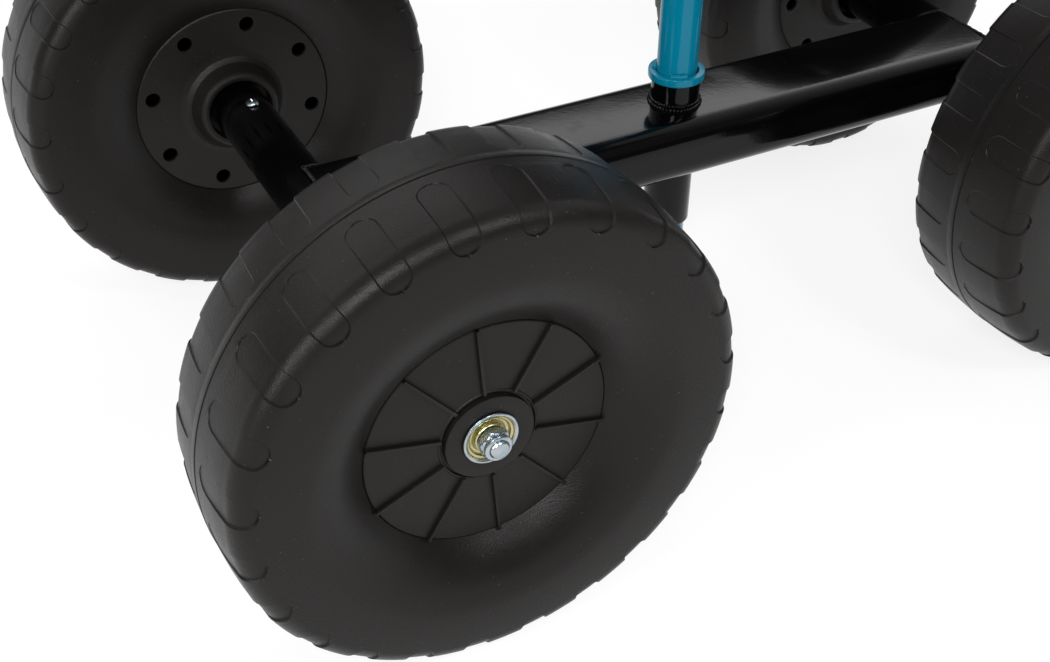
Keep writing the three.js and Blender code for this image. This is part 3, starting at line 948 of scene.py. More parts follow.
class WeldBead(Repeat):
    """Lays overlapping, slightly uneven ripples of weld along a line."""

    name = "weld_bead"
    sizes = {"Radius": ("Float", 2.0), "Pitch": ("Float", 1.2), "Seed": ("Int", 3)}
    smallest, largest, length = 0.8, 1.12, 0.62

    def build(self, g: Graph) -> Value:
        """Sets one ripple at each step along the line."""
        line = g.node("GeometryNodeMeshToCurve", {}, {"Mesh": self.given["Form"]})
        inputs = {"Curve": line, "Length": self.given["Pitch"]}
        steps = g.node("GeometryNodeCurveToPoints", {"mode": "LENGTH"}, inputs)
        inputs = {"Segments": 9, "Rings": 6, "Radius": self.given["Radius"]}
        ripple = g.node("GeometryNodeMeshUVSphere", {}, inputs)
        inputs = {2: self.smallest, 3: self.largest, "Seed": self.given["Seed"]}
        wave = g.node("FunctionNodeRandomValue", {"data_type": "FLOAT"}, inputs, output=1)
        shape = g.node("ShaderNodeCombineXYZ", {}, {"X": wave, "Y": wave, "Z": self.length})
        inputs = {"Points": steps, "Instance": ripple, "Rotation": steps.other("Rotation"), "Scale": shape}
        return g.node("GeometryNodeInstanceOnPoints", {}, inputs)


class RowOf(Repeat):
    """Repeats a form in a straight row along Y, as the turns of a thread."""

    name = "row_of"
    sizes = {"Count": ("Int", 8), "Step": ("Float", 4.0)}

    def build(self, g: Graph) -> Value:
        """Places the instances a step apart."""
        offset = g.node("ShaderNodeCombineXYZ", {}, {"Y": self.given["Step"]})
        row = g.node("GeometryNodeMeshLine", {}, {"Count": self.given["Count"], "Offset": offset})
        return g.node("GeometryNodeInstanceOnPoints", {}, {"Points": row, "Instance": self.given["Form"]})


@dataclass
class Jigs:
    """The repeats that the sub-assemblies share."""

    around: RoundTheAxle = field(default_factory=RoundTheAxle)
    bead: WeldBead = field(default_factory=WeldBead)
    row: RowOf = field(default_factory=RowOf)


# ---- wheel: made at the origin, with +Y pointing out of the cart --------------------------------
@dataclass
class Tyre:
    """The blow-moulded tyre: its section, its parting seam and its thumb-shaped tread grooves.

    Distances from the seam run along the section, and angles are in degrees about the axle.
    """

    outer_disc: float = 30.5
    inner_disc: float = 35.5
    brim: Point = (50.2, 104.5)
    lip_radius: float = 76.4
    grooves: int = 24
    half_angle: float = 3.1
    closed_angle: float = 0.08
    wall_angle: float = 0.32
    depth: float = 0.95
    groove_start: float = 8.0
    groove_end: float = 61.2
    tip: float = 8.4
    deepens_over: float = 45.0
    skew: float = 0.1
    skew_fades_over: float = 40.0
    stagger: float = 5.5
    seam_half: float = 4.5
    inner_drop: float = 0.3

    columns = 13
    across_groove = slice(4, 9)

    def _section(self, disc: float) -> np.ndarray:
        """The outside of one half, from the seam to the hub.

        Args:
            disc: the hub disc's offset on this side.

        Returns:
            Points of (offset, radius), close together.
        """
        shoulder = arc((38.1, 143.5), 14.2, 90, 0, 6)
        crown = [(0.0, 160.0), (12.0, 159.8), (24.0, 159.2), (32.0, 158.5)]
        flank = [(52.8, 135.0), (53.0, 124.0), (52.5, 114.0), self.brim]
        rise = self.brim[0] - disc
        dip = [(disc + share * rise, radius)
               for share, radius in ((0.87, 98.0), (0.69, 92.0), (0.46, 86.0), (0.21, 80.8))]
        return np.array(spline([*crown, *shoulder, *flank, *dip, (disc - 0.5, self.lip_radius)], 8))

    def _columns(self, half: float, follow: float) -> np.ndarray:
        """Angles of the columns about a groove's centre.

        Args:
            half: the groove's half angle here.
            follow: 1 where the columns follow the groove's walls, 0 where they are evenly spaced.

        Returns:
            The angles, from one edge of the pitch to the other.
        """
        edge, outer = 180.0 / self.grooves, half + self.wall_angle
        side = [outer, outer + 0.16 * (edge - outer), outer + 0.5 * (edge - outer), edge]
        walls = np.array([*(-a for a in reversed(side)), -half, -half / 2, 0.0, half / 2, half, *side])
        return follow * walls + (1 - follow) * np.linspace(-edge, edge, self.columns)

    def _rows(self, length: float) -> list[tuple[float, float, float, float]]:
        """The rows of one half's outside.

        Args:
            length: the section's length.

        Returns:
            For each row: distance from the seam, half angle, how far the columns follow the groove, and
            the share of the groove's depth.
        """
        start, end, tip, closed, wide = (self.groove_start, self.groove_end, self.tip, self.closed_angle,
                                         self.half_angle)
        turn = np.radians(np.linspace(0, 90, 8))
        rows = [(1.6, closed, 0.3, 0.0), (4.2, closed, 0.55, 0.0), (4.9, closed, 0.6, 0.0),
                (start - 0.7, closed, 1.0, 0.0)]
        rows += [(start + tip * (1 - math.cos(a)), max(closed, wide * math.sin(a)), 1.0, 1.0) for a in turn[:-1]]
        rows += [(s, wide, 1.0, 1.0) for s in np.linspace(start + tip, end - tip, 19)]
        rows += [(end - tip * (1 - math.sin(a)), max(closed, wide * math.cos(a)), 1.0, 1.0) for a in turn[1:]]
        rows.append((end + 1.0, closed, 1.0, 0.0))
        tail = np.linspace(end + 3.2, length, 26)
        return rows + [(s, closed, max(0.0, 0.85 - 0.17 * i), 0.0) for i, s in enumerate(tail)]

    def _half(self, side: int) -> Form:
        """One pitch of one half, with its inside wall.

        Args:
            side: 1 for the outer half, -1 for the inner.

        Returns:
            The patch, open along its pitch edges and at the seam.
        """
        section = self._section(self.outer_disc if side > 0 else self.inner_disc)
        steps = np.r_[0.0, np.cumsum(np.hypot(*np.diff(section, axis=0).T))]
        middle, lift = (0.0, 0.0) if side > 0 else (self.stagger, -self.inner_drop)
        even = self._columns(0.0, 0.0) + middle
        rows: list[tuple[np.ndarray, np.ndarray, np.ndarray]] = []

        def add(s: float, angles: np.ndarray, depths: np.ndarray) -> None:
            """Adds one row.

            Args:
                s: its distance from the seam.
                angles: its columns.
                depths: how far each column is pressed in.
            """
            y, r, y0, r0, y1, r1 = (np.interp(at, steps, section[:, k])
                                    for at in (s, s - 0.4, s + 0.4) for k in (0, 1))
            norm = math.hypot(y1 - y0, r1 - r0)
            rows.append((angles, y + depths * (r1 - r0) / norm, r - depths * (y1 - y0) / norm))

        for s, depth in ((0.0, 0.55), (0.25, 0.5), (0.6, lift)):
            add(s, even, np.full(self.columns, depth))
        for s, half, follow, share in self._rows(steps[-1]):
            ramp = min(1.0, max(0.0, (s - self.groove_start) / self.deepens_over))
            past = min(1.0, (s - self.groove_end) / self.skew_fades_over)
            lean = ramp if s <= self.groove_end + 1 else 1.0 - past
            depths = np.full(self.columns, lift if s < self.seam_half else 0.0)
            depths[self.across_groove] += share * self.depth * (0.45 + 0.85 * ramp)
            add(s, self._columns(half, follow) + middle - side * self.skew * lean, depths)
        lip = section[-1][0]
        inside = ((lip - 3.1, 76.5), (lip - 3.4, 71.0), (lip - 4.8, 71.0), (lip - 5.6, 82.0), (44.0, 106.0),
                  (45.5, 140.0), (35.0, 151.5), (0.0, 153.0))
        rows += [(even, np.full(self.columns, y), np.full(self.columns, r)) for y, r in inside]
        points = [(r[k] * math.cos(math.radians(a[k])), side * y[k], r[k] * math.sin(math.radians(a[k])))
                  for a, y, r in rows for k in range(self.columns)]
        corners = [i * self.columns + k for i in range(len(rows) - 1) for k in range(self.columns - 1)]
        faces = [(c, c + 1, c + 1 + self.columns, c + self.columns) for c in corners]
        return Form(np.array(points), faces)

    def form(self, jigs: Jigs) -> Form:
        """The whole tyre."""
        return jigs.around.of(self._half(1) + self._half(-1), Finish.TYRE, Count=self.grooves)


@dataclass
class Wheel:
    """A wheel with its ribbed hub, bearings, stub axle, lock nut and axle screw."""

    corner: str
    x: float
    y: float
    tread_turn: float
    hub_turn: float
    inner_turn: float
    height: float = 160.0
    tyre: Tyre = field(default_factory=Tyre)
    plate_radius: float = 76.1
    bore: float = 14.8
    boss: float = 28.0
    ribs: int = 10
    holes: int = 8
    hole_radius: float = 5.6
    hole_circle: float = 64.0
    nut_across: float = 18.0
    screw_inset: float = 82.0
    screw_seat: float = 21.15

    def _place(self, form: Form) -> Form:
        """A form made at the origin, put at this corner of the cart."""
        return form.facing(1 if self.y > 0 else -1).moved(self.x, self.y, self.height)

    def _outer_hub(self, jigs: Jigs) -> Form:
        """The outer plate: a boss in a narrow moat, a lip round it and radial ribs that reach the tyre."""
        boss, rim = self.boss, self.plate_radius
        moat = [(boss, 3.0), (boss, -1.6), (boss + 2.0, -1.6), (boss + 2.0, 0.8), (boss + 3.1, 0.8),
                (boss + 3.6, 0.0)]
        back = [(boss + 7.0, -3.0), (boss + 5.0, -6.5), (20.0, -6.5), (20.0, -22.0), (self.bore, -22.0)]
        profile = [(self.bore, 3.0), *moat, (rim - 0.8, 0.0), (rim, -0.5), (rim, -3.0), *back]
        inner, outer = boss + 2.6, rim + 0.5
        rib = Form.bar(outer - inner, 3.6, 2.0, edge=0.3).moved(x=(outer + inner) / 2, y=0.75)
        ribs = jigs.around.of(rib, Finish.HUB, Count=self.ribs, Start=math.radians(self.hub_turn))
        return (Form.turned(profile, 0.45, 2, 112) + ribs).moved(y=self.tyre.outer_disc)

    def _inner_hub(self, jigs: Jigs) -> Form:
        """The inner plate: a ring of holes and a coned boss round the axle tube."""
        boss, rim, hole = self.boss, self.plate_radius, self.hole_radius
        cone = [(boss - 0.3, -16.3), (boss + 1.4, -15.6), (boss + 2.8, -13.8), (boss + 4.6, -10.0),
                (boss + 7.2, -4.0), (boss + 10.5, -1.0), (boss + 15.0, -0.1)]
        edge, back = [(rim - 1.2, 0.0), (rim, 0.8), (rim, 3.0)], [(20.0, 3.0), (20.0, 22.0), (self.bore, 22.0)]
        profile = [(self.bore, -2.0), (25.0, -2.0), (25.0, -16.0), *cone, *edge, *back]
        bit = [(0.0, -3.0), (hole + 0.9, -3.0), (hole + 0.5, -0.2), (hole, 0.5), (hole, 6.0), (0.0, 6.0)]
        drill = Form.lathe(bit, 24)
        drills = jigs.around.of(drill.moved(x=self.hole_circle), Finish.HUB, Count=self.holes,
                                Start=math.radians(self.inner_turn))
        return Form.turned(profile, 0.5, 2, 112).cut(drills).moved(y=-self.tyre.inner_disc)

    @staticmethod
    def _bearing_rim() -> Form:
        """The bright rolled rim of a stamped bearing."""
        profile = [(15.3, 0.3), (17.4, 0.3), (17.4, 1.5), (16.9, 1.9), (16.0, 1.9), (15.3, 1.3)]
        return Form.turned(profile, 0.35, 3, 72)

    @staticmethod
    def _bearing_cup() -> Form:
        """The dished shell of a stamped bearing, with its inner race."""
        dish = [(15.9, 1.4), (15.2, 1.35), (14.5, 0.1), (13.3, -0.1), (12.6, -2.2), (11.2, -2.6), (10.6, -2.2)]
        race = [(10.3, -0.8), (10.1, 0.9), (9.5, 1.6), (6.3, 1.6), (6.3, -10.0)]
        back = [(14.2, -10.0), (14.2, 0.2), (15.9, 0.2)]
        return Form.turned([*dish, *race, *back], 0.6, 3, 72)

    def _lock_nut(self) -> Form:
        """A hexagonal lock nut with its washer face and its round crimped collar."""
        flats = [(10.5, y) for y in (0.4, 1.0, 3.2, 5.0, 5.5, 6.0, 6.4)]
        collar = [*arc((7.2, 7.8), 1.65, 0, 90, 5), (6.3, 9.4), (6.2, 8.6)]
        upper, lower = hexagon(self.nut_across, 5.2), hexagon(self.nut_across, -0.9)

        def shape(angle: float, radius: float, y: float) -> float:
            """A hexagon, chamfered at both ends, under a round collar."""
            return min(upper(angle, radius, y), lower(angle, radius, -y)) if radius > 8.6 else radius
        return Form.lathe([(6.2, 0.0), (9.2, 0.0), *flats, (8.9, 6.6), (8.85, 7.0), *collar], 96, shape)

    @staticmethod
    def _stub_axle() -> Form:
        """The stud that the wheel turns on, with its plug inside the axle tube."""
        plug = [(0.0, -112.0), (18.2, -112.0), (18.2, -46.0), (8.5, -46.0), (8.5, -39.8)]
        stud = [(6.0, -39.8), (6.0, 45.7), (5.1, 46.8), (4.6, 47.0), (0.0, 47.1)]
        return Form.turned([*plug, *stud], 0.4, 2, 48)

    def _axle_screw(self) -> Form:
        """A pan-head screw with a cross recess, standing on the axle tube."""
        seat = self.screw_seat
        shank = [(0.0, seat - 12), (2.2, seat - 12), (2.2, seat)]
        head = [(4.7, seat), (5.0, seat + 0.4), (4.9, seat + 1.3), (4.2, seat + 2.2), (2.8, seat + 2.75),
                (0.0, seat + 2.95)]
        slot = [(-2.9, seat + 3.4), (2.9, seat + 3.4), (1.1, seat + 0.6), (-1.1, seat + 0.6)]
        blade = Form.plate(slot, -0.5, 0.5).hanging()
        screw = Form.turned([*shank, *head], 0.3, 2, 40).cut(blade, blade.rolled(-90))
        return screw.standing().moved(y=-self.screw_inset)

    def build(self, jigs: Jigs) -> None:
        """Makes the wheel's pieces."""
        corner, wheel = self.corner, f"{self.corner}_wheel"
        outer, inner = self.tyre.outer_disc + 3.0, self.tyre.inner_disc + 2.0
        tread = self._place(self.tyre.form(jigs).rolled(self.tread_turn))
        tread.piece(f"{corner}_tyre_tread", Finish.TYRE, wheel, f"{corner}_tyre", crease=30.0)
        cup, rim = self._bearing_cup(), self._bearing_rim().moved(y=outer)
        nut = self._lock_nut().rolled(self.hub_turn).moved(y=outer + 2.2)
        for name, form, finish, body, node in (
            ("ribbed_plate", self._outer_hub(jigs), Finish.HUB, wheel, "outer_hub"),
            ("holed_plate", self._inner_hub(jigs), Finish.HUB, wheel, "inner_hub"),
            ("outer_bearing_cup", cup.moved(y=outer), Finish.YELLOW_ZINC, wheel, "outer_bearing"),
            ("outer_bearing_rim", rim, Finish.ZINC, wheel, ""),
            ("inner_bearing_cup", cup.moved(y=inner).facing(-1), Finish.YELLOW_ZINC, wheel, "inner_bearing"),
            ("hex_nut", nut, Finish.ZINC, "chassis", "lock_nut"),
            ("stud", self._stub_axle(), Finish.ZINC, "chassis", "stub_axle"),
            ("cross_screw", self._axle_screw(), Finish.ZINC, "chassis", "axle_screw"),
        ):
            self._place(form).piece(f"{corner}_{name}", finish, body, f"{corner}_{node}" if node else "")


# ---- chassis ------------------------------------------------------------------------------------
WELD_CREASE = 80.0


@dataclass
class Chassis:
    """The black H of beam and axle tubes, with the welded socket for the post."""

    wheelbase: float = 563.0
    rear_track: float = 440.0
    front_track: float = 362.0
    height: float = 160.0
    beam_width: float = 86.0
    beam_height: float = 46.0
    beam_corner: float = 16.0
    crown: float = 0.35
    tube: float = 21.0
    tube_bore: float = 18.6
    tube_short: float = 44.0
    socket: float = 18.0
    socket_bore: float = 15.5
    socket_low: float = 82.0
    socket_high: float = 203.0

    def _beam(self) -> Form:
        """The main beam, coped round the axle tubes."""
        half = self.wheelbase / 2
        outline = rounded_box(self.beam_width, self.beam_height, self.beam_corner, self.crown)
        blank = Form.plate(outline, -half, half).placed(Matrix.Rotation(math.pi / 2, 4, "Z"))
        rods = [Form.tube([(x, -80, 0), (x, 80, 0)], self.tube + 0.1, segments=72) for x in (-half, half)]
        return blank.cut(*rods).moved(z=self.height)

    def _axle_tube(self, track: float) -> Form:
        """One axle tube, open at its ends."""
        end = track / 2 - self.tube_short
        return Form.turned(sleeve(self.tube_bore, self.tube, -end, end), 0.6, 3, 72)

    def _tube_weld(self, jigs: Jigs, side: int) -> Form:
        """The weld between the beam's end and an axle tube.

        Args:
            jigs: the shared repeats.
            side: 1 for the front tube, -1 for the rear.

        Returns:
            The weld.
        """
        outline = rounded_box(self.beam_width + 1.4, self.beam_height + 0.6, self.beam_corner)
        path = [(side * (self.wheelbase / 2 - chord(self.tube + 0.6, z)), y, z + self.height) for y, z in outline]
        return jigs.bead.of(Form.line(path, loop=True), Finish.BLACK_COAT, Radius=1.5, Pitch=1.3, Seed=5 + side)

    def _socket_weld(self, jigs: Jigs) -> Form:
        """Two runs of weld where the socket leaves the beam's top, and one below the beam."""
        top = self.height + self.beam_height / 2
        runs = []
        for seed, out, z, size in (
            (9, 0.3, top + 0.4, 2.3),
            (13, -0.3, top + 3.3, 1.8),
            (11, 0.4, top - self.beam_height - 0.4, 2.3),
        ):
            ring = Form.line([(x, y, z) for x, y in circle(self.socket + out, 63)], loop=True)
            runs.append(jigs.bead.of(ring, Finish.BLACK_COAT, Radius=size, Pitch=size * 1.15, Seed=seed))
        return Form.joined(runs)

    def build(self, jigs: Jigs) -> None:
        """Makes the chassis's pieces."""
        coat, body = Finish.BLACK_COAT, "chassis"
        self._beam().piece("coped_beam", coat, body, "main_beam", crease=40.0)
        for name, side, track in (("rear", -1, self.rear_track), ("front", 1, self.front_track)):
            tube = self._axle_tube(track).moved(x=side * self.wheelbase / 2, z=self.height)
            tube.piece(f"{name}_round_tube", coat, body, f"{name}_axle_tube")
            self._tube_weld(jigs, side).piece(f"{name}_tube_weld", coat, body, crease=WELD_CREASE)
        socket = sleeve(self.socket_bore, self.socket, self.socket_low, self.socket_high)
        Form.turned(socket, 1.1, 4, 72).standing().piece("welded_socket", coat, body, "post_socket")
        self._socket_weld(jigs).piece("socket_weld", coat, body, crease=WELD_CREASE)


# ---- turret -------------------------------------------------------------------------------------
def bolt(inner: float, outer: float) -> Form:
    """A coach bolt along Y.

    Args:
        inner: where its hexagonal nut bears.
        outer: where its domed head bears.

    Returns:
        The bolt with its nut.
    """
    head, shank, across, corner = 7.5, 4.0, 13.0, 7.5
    dome = [(head * math.cos(a), outer + 0.8 + 4.0 * math.sin(a)) for a in np.linspace(0, math.pi / 2 - 0.12, 9)]
    point = [(0.0, inner - 5.9), (shank - 0.5, inner - 5.9), (shank, inner - 5.4)]
    rod = [*point, (shank, outer), (head, outer), *dome, (0.0, outer + 4.85)]
    nut = [(shank, -5.0), *((corner, y) for y in (-5.0, -4.4, -2.5, -0.6, 0.0)), (shank, 0.0)]
    chamfered = hexagon(across, 4.2)

    def shape(angle: float, radius: float, y: float) -> float:
        """A hexagon, chamfered on its outer face."""
        return chamfered(angle, radius, -y)
    return Form.lathe(rod, 48) + Form.lathe(nut, 72, shape).moved(y=inner)


@dataclass
class Turret:
    """The post in the socket and the U-shaped cradle, with the drum's bearings and the handle's brackets."""

    post: float = 15.0
    post_bore: float = 13.0
    post_low: float = 67.0
    post_high: float = 350.0
    collar: float = 21.0
    collar_low: float = 203.3
    collar_high: float = 209.3
    pin_height: float = 75.0
    cradle_radius: float = 14.0
    cradle_bore: float = 12.0
    half_span: float = 150.0
    bottom: float = 360.0
    top: float = 515.0
    bend: float = 60.0
    axle: float = 550.0
    head_eye: float = 26.0
    head_sleeve: float = 19.0
    head_half: float = 17.0
    head_low: float = 478.0
    pivot: Point = (52.0, 442.0)
    bracket: float = 17.0
    bracket_thickness: float = 4.0
    elbow_run: float = 183.0
    elbow_bend: float = 9.0
    elbow_bore: float = 7.0

    def _post(self) -> Form:
        """The post, with the hole for its pin."""
        post = Form.tube([(0, 0, self.post_low), (0, 0, self.post_high)], self.post, self.post_bore, 72)
        hole = Form.tube([(0, -30, self.pin_height), (0, 30, self.pin_height)], 2.8, segments=24)
        return post.bevelled(0.5, 3, 60).cut(hole)

    def _collar(self) -> Form:
        """The stop ring, slightly open on the side that isn't welded to the post."""
        bore, radius, low, high = self.post + 0.15, self.collar, self.collar_low, self.collar_high
        profile = [(bore, low), (radius - 0.3, low), (radius, low + 1.2), (radius, high - 1.2),
                   (radius - 0.3, high), (bore, high)]

        def opened(angle: float, radius: float, y: float) -> float:
            """The ring's radius, with its bore widened on one side."""
            gap = 1.5 * max(0.0, math.cos(angle - 0.5)) if radius < self.post + 1.4 else 0.0
            return radius + gap
        return Form.turned(profile, 1.5, 4, 96, opened).standing()

    def _collar_weld(self, jigs: Jigs) -> Form:
        """Short tacks between the collar and the post."""
        radius, z = self.post + 0.9, self.collar_high + 0.3
        tacks = []
        for start, end, seed in ((226.0, 262.0, 3), (40.0, 75.0, 4), (120.0, 150.0, 6)):
            line = Form.line([(x, y, z) for x, y in arc((0, 0), radius, start, end, 11)])
            tacks.append(jigs.bead.of(line, Finish.TURQUOISE_COAT, Radius=2.2, Pitch=1.0, Seed=seed))
        return Form.joined(tacks)

    def _pin(self) -> Form:
        """The pin that keeps the post in the socket."""
        profile = [(0, -20), (2.0, -20), (2.5, -19.4), (2.5, 19.4), (2.0, 20), (0, 20)]
        return Form.turned(profile, 0.2, 2, 32).moved(z=self.pin_height)

    def _cradle(self) -> Form:
        """The bent tube that holds the drum."""
        half = self.half_span
        corners = [(0, -half, self.top), (0, -half, self.bottom), (0, half, self.bottom), (0, half, self.top)]
        return Form.tube(bent(corners, self.bend), self.cradle_radius, self.cradle_bore, 56)

    def _cradle_weld(self, jigs: Jigs) -> Form:
        """The weld round the post's top, saddled over the cradle."""
        ring = [(x * 0.97, y, self.bottom - chord(self.cradle_radius + 0.4, x) - 0.2)
                for x, y in circle(self.post + 0.6, 59)]
        return jigs.bead.of(Form.line(ring, loop=True), Finish.TURQUOISE_COAT, Radius=2.3, Pitch=1.9, Seed=21)

    def _head(self, side: int) -> Form:
        """A moulded head over an upright, with an eye for the drum's axle.

        Args:
            side: 1 for the left, -1 for the right.

        Returns:
            The head.
        """
        s, low, shoulder = self.head_sleeve, self.head_low, self.axle - 34
        eye = arc((0, self.axle), self.head_eye, -17, 197, 40)
        outline = [(-s, low), (s, low), (s, shoulder), *eye, (-s, shoulder)]
        centre, half = side * self.half_span, self.head_half
        block = Form.plate(softened(outline, 3.0), centre - half, centre + half).bevelled(2.2, 3)
        seat = Form.tube([(0, centre, low - 5), (0, centre, self.top + 1)], self.cradle_radius + 0.2, segments=48)
        bore = Form.lathe(sleeve(0.0, 10.2, centre - 40, centre + 40), 48)
        face = half + 1.6
        profile = [(10.4, 0), (16.5, 0), (16.5, face), (15.3, face + 0.4), (10.4, face + 0.4)]
        boss = Form.turned(profile, 0.7, 3, 56)
        bosses = boss + boss.facing(-1)
        return block.cut(seat, bore.moved(z=self.axle)) + bosses.moved(y=centre, z=self.axle)

    def _bracket(self) -> Form:
        """The left plate that the handle's pivot goes through."""
        x, z = self.pivot
        outer = self.half_span - self.cradle_radius - 0.3
        outline = link(0.0, z, self.bracket - 1, x, z, self.bracket)
        hole = Form.lathe(sleeve(0.0, 4.3, 100, 200), 32).moved(x=x, z=z)
        return Form.plate(outline, outer - self.bracket_thickness, outer).bevelled(0.5).cut(hole)

    def _pivot_bolt(self) -> Form:
        """The left pivot bolt, with its head outside and its nut inside the bracket."""
        inner = self.half_span - self.cradle_radius - self.bracket_thickness - 0.6
        return bolt(inner, self.half_span + 11.3)

    def _elbow(self, jigs: Jigs) -> Form:
        """The brass elbow: a nut on the head, a bend and a threaded stem that looks down."""
        start, run, bend = self.half_span + self.head_half + 2.2, self.elbow_run, self.elbow_bend
        nut = Form.turned(sleeve(10.5, 15.0, start, start + 11), 0.8, 3, 72, hexagon(27.5, start + 9.5))
        turn = [(0, run + bend * math.sin(a), bend * (math.cos(a) - 1))
                for a in np.linspace(0.1, math.pi / 2, 12)]
        path = [(0, start + 8, 0), (0, run, 0), *turn, (0, run + bend, -30.0)]
        body = Form.tube(path, 10.5, self.elbow_bore, 48)
        end = Form.turned(sleeve(self.elbow_bore, 12.6, 28.0, 45.0), 0.9, 3, 56)
        ridge = Form.turned([(12.0, 0.0), (13.5, 0.7), (12.0, 1.4)], 0.2, 2, 48)
        thread = jigs.row.of(ridge, Finish.BRASS, Count=7, Step=2.0).moved(y=30.0)
        return (nut + body + (end + thread).hanging().moved(y=run + bend)).moved(z=self.axle)

    def _connector(self, jigs: Jigs) -> Form:
        """The plastic quick connector under the elbow, with finger ribs."""
        collar = [(7.2, 0.0), (13.2, 0.0), (13.2, 15.0), (12.0, 18.0), (8.6, 20.5)]
        nose = [(8.6, 23.0), (9.2, 24.0), (8.6, 25.5), (8.6, 33.0), (8.0, 34.0), (7.0, 34.0)]
        rib = Form.bar(1.6, 13.0, 1.3, edge=0.4).moved(x=13.2, y=7.6)
        body = Form.turned([*collar, *nose], 0.6, 3, 64) + jigs.around.of(rib, Finish.DRUM, Count=24)
        return body.hanging().moved(y=self.elbow_run + self.elbow_bend, z=self.axle - 45.3)

    def build(self, jigs: Jigs) -> None:
        """Makes the turret's pieces."""
        coat, body = Finish.TURQUOISE_COAT, "turret"
        self._post().piece("turning_post", coat, body, "swivel_post")
        self._collar().piece("stop_ring", coat, body, "post_collar")
        self._collar_weld(jigs).piece("stop_ring_tacks", coat, body, crease=WELD_CREASE)
        self._pin().piece("split_pin", Finish.ZINC, body, "post_pin")
        self._cradle().piece("bent_cradle", coat, body, "cradle_frame")
        self._cradle_weld(jigs).piece("cradle_weld", coat, body, crease=WELD_CREASE)
        x, z = self.pivot
        for name, side in (("right", -1), ("left", 1)):
            self._head(side).piece(f"{name}_moulded_head", Finish.DRUM, body, f"{name}_axle_head")
            self._bracket().mirrored(side).piece(f"{name}_pivot_plate", coat, body, f"{name}_handle_bracket")
            pivot = self._pivot_bolt().mirrored(side).moved(x=x, z=z)
            pivot.piece(f"{name}_pivot_bolt", Finish.ZINC, body, f"{name}_handle_bolt")
        self._elbow(jigs).piece("water_elbow", Finish.BRASS, body, "inlet_elbow")
        self._connector(jigs).piece("quick_connector", Finish.DRUM, body, "inlet_connector")


